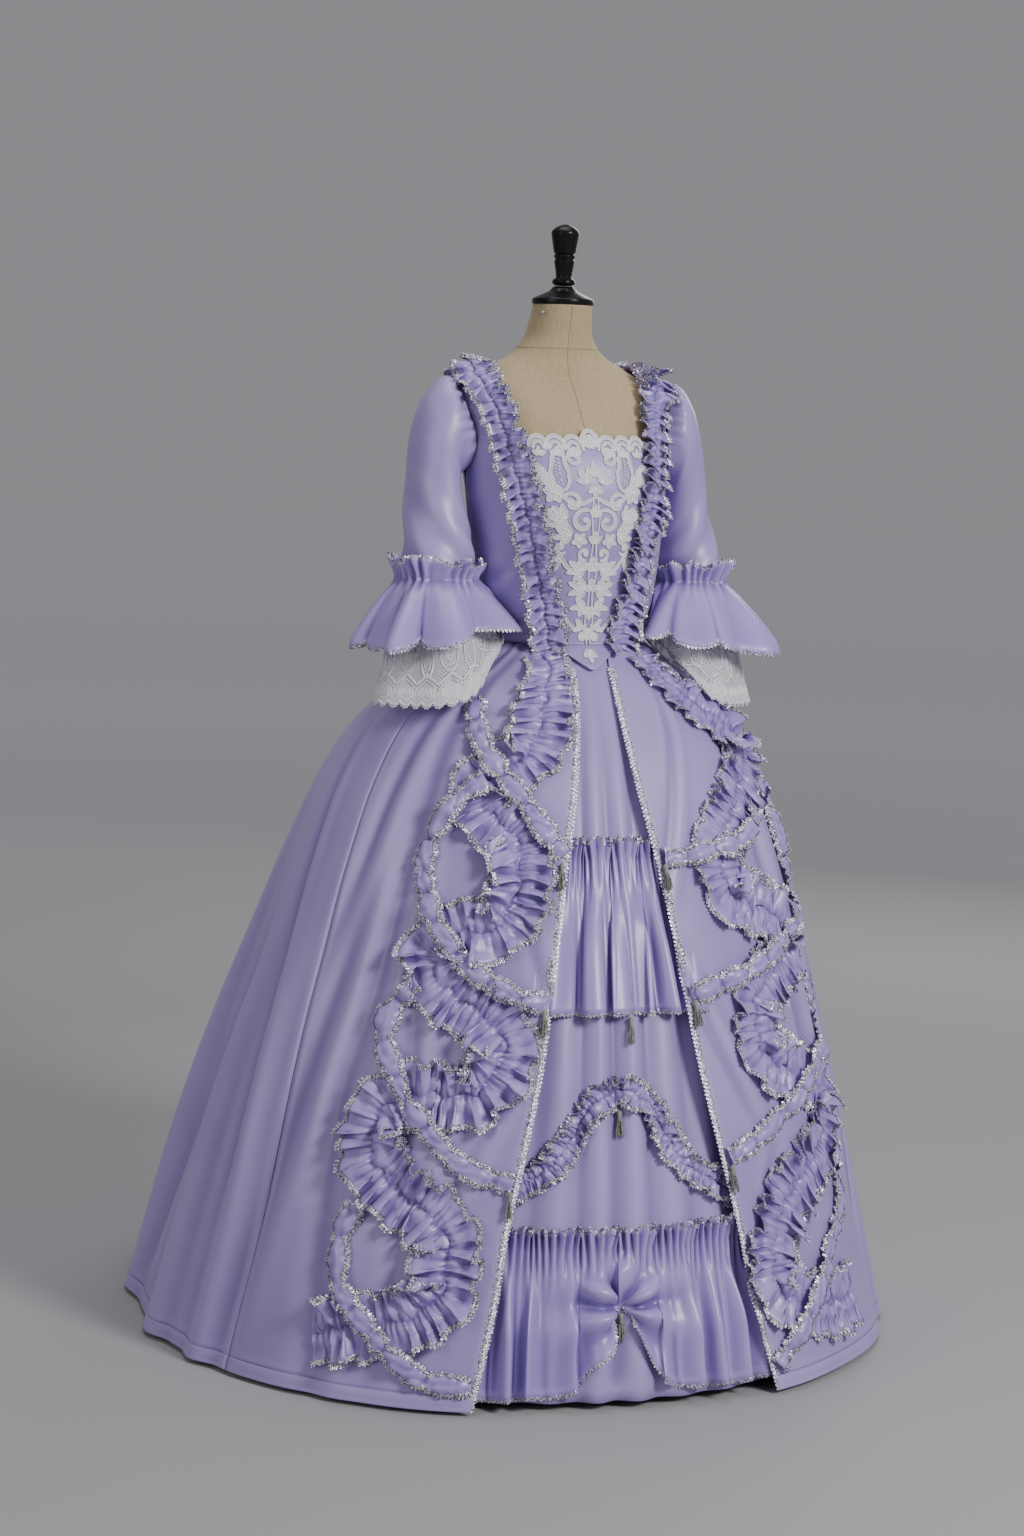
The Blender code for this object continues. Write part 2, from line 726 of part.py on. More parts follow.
def thicken(obj, wall):
    solid = obj.modifiers.new("Solidify", "SOLIDIFY")
    solid.thickness = wall
    solid.offset = -1.0


def cloth(name, points, look="satin", wall=WALL, around=False):
    """A wall of cloth whose outer face passes through the points."""
    shape, _ = grid(points, around)
    thicken(from_bmesh(name, shape, look), wall)


def lace(name, points, holes):
    """A wall of lace: each cell in holes keeps a border and loses its middle."""
    shape, cells = grid(points)
    open_cells = [cells[place] for place in holes]
    bmesh.ops.inset_individual(shape, faces=open_cells, thickness=LACE_BAR)
    bmesh.ops.delete(shape, geom=open_cells, context="FACES_ONLY")
    thicken(from_bmesh(name, shape, "lace"), TRIM_WALL)


def turned(name, profile, look, steps, y=0.0):
    """A turned piece: its profile runs down the outer side and is spun round the axis."""
    mesh = bpy.data.meshes.new(name)
    points = [(row.radius, 0.0, row.height) for row in profile]
    mesh.from_pydata(points, [(i, i + 1) for i in range(len(points) - 1)], [])
    obj = placed(name, mesh, look)
    obj.location.y = y
    spin = obj.modifiers.new("Screw", "SCREW")
    spin.steps = spin.render_steps = steps
    spin.use_merge_vertices = True
    spin.merge_threshold = 0.0001


class Route:
    """A smooth path over a surface, read off at even steps of its length."""

    def __init__(self, surface, rows, steps):
        self.surface = surface
        marks = range(len(rows))
        table = [(mark, *row) for mark, row in zip(marks, rows)]
        fine = blend(table, np.linspace(0, marks[-1], 40 * len(rows)))
        points = surface(fine[:, 0], fine[:, 1])
        walked = np.append(0.0, np.cumsum(np.linalg.norm(np.diff(points, axis=0), axis=1)))
        self.along = np.linspace(0, walked[-1], steps + 1)
        self.angle = np.interp(self.along, walked, fine[:, 0])
        self.height = np.interp(self.along, walked, fine[:, 1])
        self.points = surface(self.angle, self.height)
        turn, rise, _ = directions(surface, self.angle, self.height)
        per_turn = np.linalg.norm(turn, axis=1)
        per_rise = np.linalg.norm(rise, axis=1)
        run = np.gradient(self.angle, self.along) * per_turn
        climb = np.gradient(self.height, self.along) * per_rise
        size = np.hypot(run, climb)
        self.across_angle = climb / size / per_turn
        self.across_height = -run / size / per_rise
        self.bend = np.gradient(np.unwrap(np.arctan2(climb, run)), self.along)

    def place(self, across):
        """Angle and height of the points this far across the path, held in on tight bends."""
        room = BEND_ROOM / np.maximum(np.abs(self.bend), 1e-6)
        inside = across * self.bend < 0
        across = np.where(inside, np.sign(across) * np.minimum(np.abs(across), room), across)
        return self.angle + across * self.across_angle, self.height + across * self.across_height


def nearest(points, others):
    """Distance from each point to the nearest of the others."""
    return np.linalg.norm(points[:, None, :] - others[None, :, :], axis=2).min(axis=1)


def ruched_band(route, half_width, rise, rest, calm=1.0):
    """Rows of points of a band gathered along its middle, its edges standing out in waves."""
    crest = np.arange(len(route.along)) % 2
    columns = []
    for side in (-1, 0, 1):
        angle, height = route.place(side * half_width)
        wave = crest * calm * (rise if side else MIDDLE_SHARE * rise)
        columns.append(lifted(route.surface, angle, height, rest + wave))
    return np.stack(columns, 1)


def build_form():
    angles = np.linspace(-180, 180, FORM_COLUMNS, endpoint=False)
    rows = [dress_form(angles, np.full(len(angles), level)) for level in FORM_LEVELS]
    shape, _ = grid(rows, around=True)
    bmesh.ops.holes_fill(shape, edges=[edge for edge in shape.edges if edge.is_boundary])
    from_bmesh("dress_form", shape, "linen")
    turned("form_pole", POLE_PROFILE, "iron", 16)
    turned("form_base", BASE_PROFILE, "iron", 24)
    turned("form_neck_cap", CAP_PROFILE, "black_wood", 16, -BODY[-1].lean)
    turned("form_finial", FINIAL_PROFILE, "black_wood", 12, -BODY[-1].lean)


def skirt_panel(name, near, far, columns, levels):
    """An overskirt panel between two edges, each a number of degrees or a function of height."""
    rows = []
    for level in levels:
        ends = [edge(level) if callable(edge) else edge for edge in (near, far)]
        rows.append(skirt(np.linspace(*ends, columns + 1), np.full(columns + 1, level)))
    cloth(name, rows)


def build_overskirt():
    outer = SIDE_SEAM + SEAM_ANGLE
    centre_back = 180 - SEAM_ANGLE
    for name, near, far, columns, levels in (
        ("front_right", -SIDE_SEAM, lambda level: -front_edge(level), FRONT_COLUMNS, SKIRT_LEVELS),
        ("front_left", front_edge, SIDE_SEAM, FRONT_COLUMNS, SKIRT_LEVELS),
        ("back_right", -centre_back, -outer, BACK_COLUMNS, BACK_LEVELS),
        ("back_left", outer, centre_back, BACK_COLUMNS, BACK_LEVELS),
    ):
        skirt_panel(f"overskirt_{name}", near, far, columns, levels)


def build_petticoat():
    front = np.linspace(-PETTICOAT_FRONT, PETTICOAT_FRONT, 9)
    rest = np.linspace(PETTICOAT_FRONT, 360 - PETTICOAT_FRONT, 17)[1:-1]
    angles = np.concatenate([front, rest])
    rows = [petticoat(angles, np.full(len(angles), level)) for level in PETTICOAT_LEVELS]
    cloth("petticoat", rows, around=True)


def build_upper_flounce():
    columns = np.linspace(-1, 1, 3 * UPPER_WAVES + 1)
    wave = (1 - np.cos(pi * UPPER_WAVES * (columns + 1))) / 2
    rows = []
    for row in UPPER_FLOUNCE:
        level = np.full_like(columns, row.height)
        lift = FLOUNCE_SEAT + row.wave * wave
        rows.append(lifted(petticoat_rows, row.half_angle * columns, level, lift))
    cloth("petticoat_upper_flounce", rows)


def build_bottom_flounce():
    angles = np.linspace(-BOTTOM_HALF_ANGLE, BOTTOM_HALF_ANGLE, 3 * BOTTOM_WAVES + 1)
    wave = (1 - np.cos(pi * BOTTOM_WAVES * (angles / BOTTOM_HALF_ANGLE + 1))) / 2
    hem = blend(SWAG, angles)[:, 0]
    rows = []
    for row in BOTTOM_FLOUNCE:
        height = hem + (BOTTOM_GATHER - hem) * min(row.share, 1.0)
        height = height + HEADER * (row.share > 1.0)
        rows.append(lifted(petticoat_rows, angles, height, BOTTOM_SEAT + row.rise * wave))
    cloth("petticoat_bottom_flounce", rows)


def build_garland():
    route = Route(petticoat_rows, GARLAND, 2 * GARLAND_WAVES)
    band = ruched_band(route, GARLAND_HALF_WIDTH, GARLAND_RISE, TRIM_SEAT + TRIM_WALL)
    cloth("petticoat_garland", band, wall=TRIM_WALL)


def build_wide_ruffle(side, rows, ribbons):
    """A wide ruffle, pressed flat where a ribbon crosses it and narrow at the waist."""
    route = Route(skirt_rows, rows, 2 * WIDE_WAVES)
    crossing = np.concatenate([Route(skirt_rows, ribbon, 60).points for ribbon in ribbons])
    spread = WIDE_LEAST + (1 - WIDE_LEAST) * ease(route.along / WIDE_START)
    rise = WIDE_LEAST + (1 - WIDE_LEAST) * ease(route.along / RISE_START)
    half = WIDE_HALF_WIDTH * spread
    edges = [skirt_rows(*route.place(across)) for across in (-half, 0 * half, half)]
    reach = np.min([nearest(edge, crossing) for edge in edges], axis=0)
    calm = ease((reach - RIBBON_HALF_WIDTH) / PRESSED_REACH) * rise
    band = ruched_band(route, half, WIDE_RISE, WIDE_SEAT + TRIM_WALL, calm)
    cloth(f"wide_ruffle_{side}", band, wall=TRIM_WALL)


def build_ribbon(name, rows, ruffle):
    """A puffed ribbon, pinched at even steps and lifted where it crosses the wide ruffle."""
    length = Route(skirt_rows, rows, 1).along[-1]
    route = Route(skirt_rows, rows, 2 * round(length / RIBBON_PITCH) + 1)
    beside = nearest(route.points, ruffle) - WIDE_HALF_WIDTH - RIBBON_MARGIN
    rest = RIBBON_SEAT + TRIM_WALL + RIBBON_OVER * (1 - ease(beside / RIBBON_CLIMB))
    puff = np.arange(len(route.along)) % 2
    half = RIBBON_PINCH + (RIBBON_HALF_WIDTH - RIBBON_PINCH) * puff
    columns = []
    for side in (-1, 0, 1):
        angle, height = route.place(side * half)
        rise = RIBBON_PUFF if side == 0 else 0.0
        columns.append(lifted(skirt_rows, angle, height, rest + rise * puff))
    cloth(name, np.stack(columns, 1), wall=TRIM_WALL)


def build_skirt_trims():
    sides = (("right", WIDE_RUFFLE_RIGHT, RIBBONS_RIGHT), ("left", WIDE_RUFFLE_LEFT, RIBBONS_LEFT))
    for side, ruffle, ribbons in sides:
        build_wide_ruffle(side, ruffle, ribbons)
        middle = Route(skirt_rows, ruffle, 240).points
        for number, rows in enumerate(ribbons, 1):
            build_ribbon(f"ribbon_{side}_{number}", rows, middle)


def build_front_braids():
    for side, sign in (("right", -1), ("left", 1)):
        rows = []
        for level in SKIRT_LEVELS[:-1]:
            edge = front_edge(level)
            degree = per_degree(skirt_rows, sign * edge, level)
            ends = sign * (edge + np.array([BRAID_INSET, BRAID_INSET + BRAID_WIDTH]) / degree)
            lift = np.full(2, TRIM_SEAT + TRIM_WALL)
            rows.append(lifted(skirt_rows, np.sort(ends), np.full(2, level), lift))
        cloth(f"front_braid_{side}", rows, "braid", TRIM_WALL)


def bodice_net(rows, sign, columns):
    """A bodice panel's points, from its waist to its shoulder."""
    table = blend(rows, np.array(BODICE_SHARES))
    near_angle, near_height, far_angle, far_height = np.moveaxis(table[:, None], -1, 0)
    across = np.linspace(0, 1, columns + 1)
    angle = near_angle + (far_angle - near_angle) * across
    height = near_height + (far_height - near_height) * across
    net = body(sign * angle, height)
    rises = (rows[0].far_angle > rows[0].near_angle) == (sign > 0)
    return net if rises else net[:, ::-1]


def build_bodice():
    for side, sign in (("right", -1), ("left", 1)):
        cloth(f"bodice_front_{side}", bodice_net(BODICE_FRONT, sign, 5))
        cloth(f"bodice_back_{side}", bodice_net(BODICE_BACK, sign, 6))


def stomacher_half(level):
    """Half of the stomacher's width in degrees."""
    if level < WAIST:
        return float(blend(STOMACHER_TIP, level)[0])
    shares = np.linspace(0, 1, 200)
    near = blend(BODICE_FRONT, shares)
    return float(np.interp(level, near[:, 1], near[:, 0])) - STOMACHER_SEAM


def stomacher_net(levels, columns, inset, lift):
    rows = []
    for level in levels:
        half = stomacher_half(level) - inset
        angles = np.linspace(-half, half, columns + 1)
        out = np.full(columns + 1, lift + tip_lift(level))
        rows.append(lifted(gown_front, angles, np.full(columns + 1, level), out))
    return np.array(rows)


def build_stomacher():
    cloth("stomacher", stomacher_net(STOMACHER_LEVELS, 6, 0.0, 0.0))
    levels = np.linspace(LACE_BOTTOM, LACE_TOP, LACE_ROWS + 1)
    net = stomacher_net(levels, LACE_COLUMNS, LACE_EDGE, LACE_LIFT)
    net[-1, ::2, 2] += LACE_SCALLOP
    inner = range(1, LACE_COLUMNS - 1)
    holes = [(i, j) for i in range(1, LACE_ROWS - 1) for j in inner if (i + j) % 2]
    lace("stomacher_lace", net, holes)


def build_robings():
    for side, sign in (("right", -1), ("left", 1)):
        rows = [Turn(sign * row.angle, row.height) for row in ROBING]
        route = Route(body, rows, 2 * ROBING_WAVES)
        rest = ROBING_SEAT + TRIM_WALL + tip_lift(route.height)
        band = ruched_band(route, ROBING_HALF_WIDTH, ROBING_RISE, rest)
        cloth(f"robing_{side}", band, wall=TRIM_WALL)


def sleeve_ring(sign, ring, phase, out=0.0):
    """Points round a sleeve at one of its rings, at the outer side first."""
    row = SLEEVE[ring]
    left = LEFT_SLEEVE[ring] if sign > 0 else LeftRing(0.0, 0.0, 0.0)
    inner, outer = row.inner_x + left.inward - out, row.outer_x + left.outward + out
    x = (outer + inner + (outer - inner) * np.cos(phase)) / 2
    y = row.middle_y + left.back - (row.half_depth + out) * np.sin(phase)
    z = (row.outer_z + row.inner_z + (row.outer_z - row.inner_z) * np.cos(phase)) / 2
    return np.stack([sign * x, y, z], 1)


def sleeve_rings(sign, columns):
    """Rings of a sleeve, from the cuff up to the armhole on the bodice."""
    phase = np.linspace(0, tau, columns, endpoint=False)
    rings = [sleeve_ring(sign, ring, phase) for ring in reversed(range(len(SLEEVE)))]
    angle = ARMHOLE_MIDDLE.angle - ARMHOLE_HALF.angle * np.sin(phase)
    height = ARMHOLE_MIDDLE.height + ARMHOLE_HALF.height * np.cos(phase)
    rings.append(lifted(body, sign * angle, height, np.full(columns, SLEEVE_SEAT)))
    rings = np.array(rings)
    return rings if sign < 0 else rings[:, ::-1]


def frill(sign, drops, phase, waves, shorter, body_gap, skirt_gap):
    """Rows of points of a frill that hangs round the cuff and rests on the hip."""
    inner = ((1 - np.cos(phase)) / 2) ** INNER_NARROWING
    rows = []
    for drop in reversed(drops):
        fall = drop.fall * (1 - shorter * inner)
        out = drop.spread + drop.wave * np.cos(waves * phase)
        points = sleeve_ring(sign, -1, phase, out)
        points[:, 1] -= FRILL_FORWARD * np.maximum(fall, 0.0)
        points[:, 2] -= fall
        points = clear_of_skirt(clear_of_body(points, body_gap), skirt_gap)
        rows.append(clear_of_body(points, body_gap))
    rows = np.array(rows)
    return rows if sign < 0 else rows[:, ::-1]


def build_sleeves():
    holes = [(i, j) for i in range(3) for j in range(2 * LACE_WAVES) if (i + j) % 3 == 1]
    for side, sign in (("right", -1), ("left", 1)):
        cloth(f"sleeve_{side}", sleeve_rings(sign, 14), around=True)
        phase = np.linspace(0, tau, 3 * FLOUNCE_WAVES, endpoint=False)
        flounce = frill(sign, FLOUNCE_DROP, phase, FLOUNCE_WAVES, *FLOUNCE_FIT)
        cloth(f"sleeve_flounce_{side}", flounce, wall=TRIM_WALL, around=True)
        for half, start in (("front", 0.0), ("back", pi)):
            ends = start + LACE_SPLIT, start + pi - LACE_SPLIT
            phase = np.linspace(*ends, 2 * LACE_WAVES + 1)
            net = frill(sign, LACE_DROP, phase, LACE_WAVES, *LACE_FIT)
            lace(f"cuff_lace_{half}_{side}", net, holes)


def build_tassel(name, surface, angle, height, lift):
    """A tassel lying down the slope of a surface: a round head with its strands below."""
    shape = bmesh.new()
    bmesh.ops.create_cone(shape, cap_ends=True, cap_tris=True, segments=TASSEL_STRANDS,
                          radius1=TASSEL_HEAD, radius2=TASSEL_CROWN, depth=TASSEL_HEAD_HEIGHT)
    shape.normal_update()
    roots = [face for face in shape.faces if face.normal.z < -0.9]
    bmesh.ops.inset_individual(shape, faces=roots, thickness=TASSEL_ROOT_GAP)
    strands = bmesh.ops.extrude_discrete_faces(shape, faces=roots)["faces"]
    for strand in strands:
        away = strand.calc_center_median()
        for vert in strand.verts:
            vert.co = vert.co + TASSEL_FLARE * Vector((away.x, away.y, 0.0))
            vert.co.z -= TASSEL_LENGTH
    _, rise, normal = directions(surface, angle, height)
    up = rise / np.linalg.norm(rise)
    side = np.cross(normal, up)
    at = surface(angle, height) + normal * lift
    for vert in shape.verts:
        vert.co = at + side * vert.co.x + normal * vert.co.y + up * vert.co.z
    from_bmesh(name, shape, "tassel")


def build_tassels():
    lift = TRIM_SEAT + TRIM_WALL + TASSEL_REST
    for side, sign, heights in (("right", -1, TASSELS_RIGHT), ("left", 1, TASSELS_LEFT)):
        for number, height in enumerate(heights, 1):
            edge = front_edge(height)
            inset = (BRAID_INSET + BRAID_WIDTH / 2) / per_degree(skirt_rows, sign * edge, height)
            build_tassel(f"tassel_{side}_{number}", skirt_rows, sign * (edge + inset), height, lift)
    for number, (angle, height) in enumerate(TASSELS_CENTRE, 1):
        build_tassel(f"tassel_centre_{number}", petticoat_rows, angle, height, TASSEL_REST)


def main():
    for obj in list(bpy.data.objects):
        bpy.data.objects.remove(obj, do_unlink=True)
    gown = bpy.data.collections.new("ball_gown")
    bpy.context.scene.collection.children.link(gown)
    build_form()
    build_petticoat()
    build_upper_flounce()
    build_garland()
    build_bottom_flounce()
    build_overskirt()
    build_skirt_trims()
    build_front_braids()
    build_bodice()
    build_stomacher()
    build_robings()
    build_sleeves()
    build_tassels()


main()
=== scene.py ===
"""A lilac satin ball gown with lace, ruffles and silver braid, on a limbless dress form."""

from collections import namedtuple
from math import pi, radians, tau

import bpy
import numpy as np
from mathutils import Matrix, Vector


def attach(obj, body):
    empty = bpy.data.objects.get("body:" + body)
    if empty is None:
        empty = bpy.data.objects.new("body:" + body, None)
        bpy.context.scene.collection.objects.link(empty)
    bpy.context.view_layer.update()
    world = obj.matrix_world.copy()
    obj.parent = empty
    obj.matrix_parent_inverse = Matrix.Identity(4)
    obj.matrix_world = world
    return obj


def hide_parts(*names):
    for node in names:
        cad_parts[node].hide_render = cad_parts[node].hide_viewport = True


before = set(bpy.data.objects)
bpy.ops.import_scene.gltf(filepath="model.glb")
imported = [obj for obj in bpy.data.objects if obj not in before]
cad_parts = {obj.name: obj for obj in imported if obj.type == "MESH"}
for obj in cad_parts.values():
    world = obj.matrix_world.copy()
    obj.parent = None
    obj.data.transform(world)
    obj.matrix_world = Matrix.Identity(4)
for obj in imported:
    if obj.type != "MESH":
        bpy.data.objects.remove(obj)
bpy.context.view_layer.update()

Section = namedtuple("Section", "height side front back sideways lean")
Inset = namedtuple("Inset", "height depth")
Turn = namedtuple("Turn", "angle height")
Edge = namedtuple("Edge", "height angle")
Fold = namedtuple("Fold", "angle spread depth top")
Hem = namedtuple("Hem", "angle height")
PanelRow = namedtuple("PanelRow", "share near_angle near_height far_angle far_height")
SleeveRing = namedtuple("SleeveRing", "inner_x inner_z outer_x outer_z half_depth middle_y")
LeftRing = namedtuple("LeftRing", "inward outward back")
Turned = namedtuple("Turned", "radius height")
Drop = namedtuple("Drop", "fall spread wave")
FlounceRow = namedtuple("FlounceRow", "height half_angle wave")
Crease = namedtuple("Crease", "angle height reach spread depth lean")
Scroll = namedtuple("Scroll", "x y radius start turns hand width")
Spray = namedtuple("Spray", "x y size angle count open_by")
Light = namedtuple("Light", "name place size power")


def rows_of(kind, *rows):
    """Rows of one kind, under the names of its columns."""
    return [kind(*row) for row in rows]


# Sizes of the gown and the studio, in metres and degrees, and counts.
WAIST = 1.066
OVERSKIRT_HEM = 0.006
PETTICOAT_HEM = 0.012
CUFF = 1.160
NECK_TOP = 1.578
SEAM = 0.0004
SIDE_SEAM = 66.0
SEAM_ANGLE = 0.20
STOMACHER_SEAM = 0.4
LEVEL_BELOW = 0.70
LEVEL_FADE = 0.50
FOLD_FADE = 0.75
TIP_LIFT = 0.0036
TIP_SWELL_LOW = 1.062
TIP_SWELL_SPAN = 0.035
ARMHOLE_MIDDLE = Turn(90.0, 1.390)
ARMHOLE_HALF = Turn(24.0, 0.066)
SLEEVE_SEAT = 0.0035
LACE_WAVES = 4
FRILL_FORWARD = 0.16
FLOUNCE_FIT = (0.15, 0.003, 0.010)
LACE_FIT = (0.45, 0.008, 0.022)
LEAST_REACH = 0.2
BEND_ROOM = 0.75
WALL = 0.0012
PICOT = 0.006
PICOT_STEPS = 4
BRAID_WIDTH = 0.0055
FOLD_LEAN = 3.0
SPARE = 0.012
EDGE_SWING = 0.09
SWAY = 0.10
DROOP = 0.36
ROBING_END = Turn(25.5, 1.060)
CUFF_REPEATS = 15
DRAWN_UP = Turn(-1.0, 0.140)
TASSELS_RIGHT = [0.752, 0.550, 0.300]
TASSELS_LEFT = [0.748, 0.556, 0.322]
TASSELS_CENTRE = [Turn(2.5, 0.540), Turn(0.0, 0.408), Turn(-1.0, 0.124)]
CAMERA_LENS = 75.94
FLOOR_RADIUS = 30.0
# Painted light on the floor: its grey at each distance from the gown, in metres, dark where the lamps are
# strong and near white far off.
FLOOR_PAINTED_LIGHT = [(0.9, 0.34), (2.5, 0.34), (4.1, 0.46), (5.4, 0.62), (9.0, 0.86), (17.0, 0.96), (29.0, 0.99)]
CAMERA_YAW = radians(0.641)
CAMERA_PITCH = radians(6.693)
CAMERA_AZIMUTH = radians(-20.0)
CAMERA_ROLL = radians(2.0)
CAMERA_DISTANCE = 5.0
EYE_HEIGHT = 1.45
NECK_LEAN = 0.009
HEM_BAND = 0.027
STITCH_LEVEL = 0.0245
STITCH_STEP = 0.0045
CENTRE_FADE = 0.35
UPPER_HEADER = 0.772
BOTTOM_HEADER = 0.222
MOTIF_FALL = 0.108
SHELL_RADIUS = 0.0150
NECK_SEAM = 1.512
FLOOR_SIDES = 96
LIT_HEIGHT = 0.9
RUFFLE_WALL = 0.0008
FLOUNCE_WALL = 0.0009
HEADER_BRAID = 0.006
CUFF_BRAID = 0.007
PUFF_AT = 0.26
PUFF_WIDE = 0.18
CORD_RISE = 0.6
STRANDS = 27
SIDES = (("right", -1), ("left", 1))

RIBBON_ENDS = {"right": [0.770, 0.566, 0.318, 0.040], "left": [0.764, 0.572, 0.340, 0.040]}

CREASES = rows_of(
    Crease,
    (-58.0, 0.86, 0.30, 2.6, 0.008, 8.0), (-49.0, 0.70, 0.42, 3.0, 0.009, 5.0),
    (-41.0, 0.52, 0.34, 2.2, 0.006, -4.0), (-63.0, 0.40, 0.40, 3.2, 0.010, 7.0),
    (-52.0, 0.24, 0.30, 2.6, 0.007, -3.0), (-36.0, 0.30, 0.26, 1.8, 0.004, 4.0),
    (-17.0, 0.62, 0.20, 1.4, 0.003, -9.0), (-23.0, 0.42, 0.18, 1.5, 0.003, 10.0),
    (18.0, 0.86, 0.18, 1.6, 0.005, 9.0), (19.0, 0.52, 0.16, 1.4, 0.004, -10.0),
    (24.0, 0.20, 0.18, 1.6, 0.004, 9.0), (47.0, 0.66, 0.40, 2.8, 0.009, -5.0),
    (58.0, 0.84, 0.30, 2.6, 0.008, -8.0), (62.0, 0.36, 0.36, 3.0, 0.009, -6.0),
    (82.0, 0.62, 0.40, 2.8, 0.008, 5.0), (99.0, 0.34, 0.36, 2.6, 0.007, -6.0),
    (133.0, 0.56, 0.44, 3.0, 0.009, 5.0), (155.0, 0.36, 0.34, 2.8, 0.008, -4.0),
    (-82.0, 0.58, 0.40, 2.8, 0.009, -5.0), (-99.0, 0.30, 0.34, 2.6, 0.007, 6.0),
    (-134.0, 0.60, 0.42, 3.0, 0.009, -4.0), (-153.0, 0.32, 0.34, 2.8, 0.008, 5.0))

CENTRE_FOLDS = rows_of(
    Fold,
    (-19.0, 4.2, 0.007, 0.98), (-11.0, 4.4, 0.009, 1.02), (-3.6, 3.4, 0.012, 1.03),
    (3.0, 3.8, 0.013, 1.03), (10.5, 4.4, 0.009, 1.02), (18.5, 4.6, 0.008, 0.98))

FINIAL_FINE = rows_of(
    Turned,
    (0.0003, 1.7000), (0.0060, 1.6992), (0.0150, 1.6950), (0.0205, 1.6900), (0.0215, 1.6860),
    (0.0195, 1.6740), (0.0172, 1.6600), (0.0160, 1.6565), (0.0142, 1.6550), (0.0160, 1.6532),
    (0.0165, 1.6515), (0.0150, 1.6490), (0.0140, 1.6470), (0.0157, 1.6445), (0.0150, 1.6400),
    (0.0128, 1.6280), (0.0120, 1.6205), (0.0135, 1.6180), (0.0168, 1.6160), (0.0178, 1.6125),
    (0.0168, 1.6098), (0.0130, 1.6072), (0.0003, 1.6068))

SCROLLS = rows_of(
    Scroll,
    (0.026, 1.348, 0.0150, 2.3, 1.05, -1, 0.0052), (0.036, 1.282, 0.0155, 0.7, 1.00, 1, 0.0056),
    (0.018, 1.254, 0.0190, 2.0, 1.00, -1, 0.0062), (0.052, 1.214, 0.0110, 3.6, 0.90, 1, 0.0044),
    (0.014, 1.206, 0.0110, 4.4, 0.85, 1, 0.0042), (0.009, 1.078, 0.0065, 1.9, 0.95, -1, 0.0030))

SPRAYS = rows_of(
    Spray,
    (0.080, 1.334, 0.034, -0.9, 4, 1.5), (0.010, 1.312, 0.024, 0.9, 3, 1.2),
    (0.066, 1.316, 0.026, -0.3, 3, 1.5), (0.072, 1.272, 0.030, -1.2, 4, 1.7),
    (0.046, 1.258, 0.030, 0.1, 5, 2.1), (0.038, 1.232, 0.028, 0.2, 4, 1.7),
    (0.052, 1.196, 0.024, -0.3, 4, 1.6), (0.014, 1.180, 0.028, 0.2, 4, 1.8),
    (0.010, 1.152, 0.028, 0.0, 4, 1.9), (0.008, 1.126, 0.024, -0.2, 3, 1.5),
    (0.010, 1.094, 0.020, 0.2, 2, 1.1))

CENTRE_SPRAYS = rows_of(
    Spray,
    (0.0, 1.364, 0.018, pi / 2, 3, 1.6), (0.0, 1.322, 0.022, pi / 2, 3, 1.4),
    (0.0, 1.306, 0.018, -pi / 2, 3, 1.6), (0.0, 1.262, 0.018, pi / 2, 3, 1.3),
    (0.0, 1.222, 0.018, pi / 2, 3, 1.3), (0.0, 1.180, 0.022, pi / 2, 3, 1.4),
    (0.0, 1.150, 0.018, pi / 2, 3, 1.8), (0.0, 1.124, 0.020, -pi / 2, 3, 1.4),
    (0.0, 1.092, 0.018, -pi / 2, 3, 1.1), (0.0, 1.056, 0.018, -pi / 2, 3, 1.4))

SKIRT = rows_of(
    Section,
    (0.000, 0.578, 0.540, 0.860, -0.022, 0.0), (0.200, 0.530, 0.490, 0.760, -0.020, 0.0),
    (0.400, 0.480, 0.435, 0.650, -0.016, 0.0), (0.600, 0.426, 0.372, 0.545, -0.010, 0.0),
    (0.750, 0.384, 0.315, 0.465, -0.004, 0.0), (0.870, 0.340, 0.255, 0.390, 0.002, 0.0),
    (0.950, 0.292, 0.205, 0.310, 0.008, 0.0), (1.000, 0.235, 0.168, 0.235, 0.012, 0.0),
    (1.035, 0.175, 0.136, 0.160, 0.015, 0.0), (WAIST, 0.128, 0.105, 0.105, 0.017, 0.0))

BODY = rows_of(
    Section,
    (0.860, 0.165, 0.115, 0.125, 0.012, 0.0), (0.950, 0.156, 0.112, 0.120, 0.015, 0.0),
    (WAIST, 0.128, 0.105, 0.105, 0.017, 0.0), (1.120, 0.136, 0.112, 0.108, 0.016, 0.0),
    (1.190, 0.147, 0.124, 0.110, 0.013, 0.004), (1.270, 0.156, 0.136, 0.112, 0.009, 0.008),
    (1.320, 0.160, 0.134, 0.112, 0.006, 0.006), (1.380, 0.166, 0.118, 0.108, 0.003, 0.000),
    (1.420, 0.172, 0.098, 0.097, 0.000, -0.004), (1.450, 0.170, 0.078, 0.085, 0.000, -0.010),
    (1.470, 0.150, 0.063, 0.074, 0.000, -0.018), (1.487, 0.112, 0.054, 0.064, 0.000, -0.024),
    (1.503, 0.076, 0.050, 0.056, 0.000, -0.027), (1.525, 0.056, 0.048, 0.051, 0.000, -0.025),
    (1.550, 0.049, 0.047, 0.048, 0.000, -0.018), (1.578, 0.0455, 0.0455, 0.0455, 0.000, -0.009))

FORM_INSET = rows_of(
    Inset,
    (0.860, 0.0050), (WAIST, 0.0050), (1.200, 0.0042), (1.320, 0.0050), (1.400, 0.0068),
    (1.450, 0.0085), (1.475, 0.0085), (1.492, 0.0040), (1.515, 0.0000), (1.578, 0.0000))

PETTICOAT_INSET = rows_of(
    Inset,
    (0.000, 0.040), (0.200, 0.038), (0.400, 0.035), (0.600, 0.032), (0.750, 0.028), (0.870, 0.020),
    (0.950, 0.012), (1.000, 0.007), (1.035, 0.004), (WAIST, 0.0022))

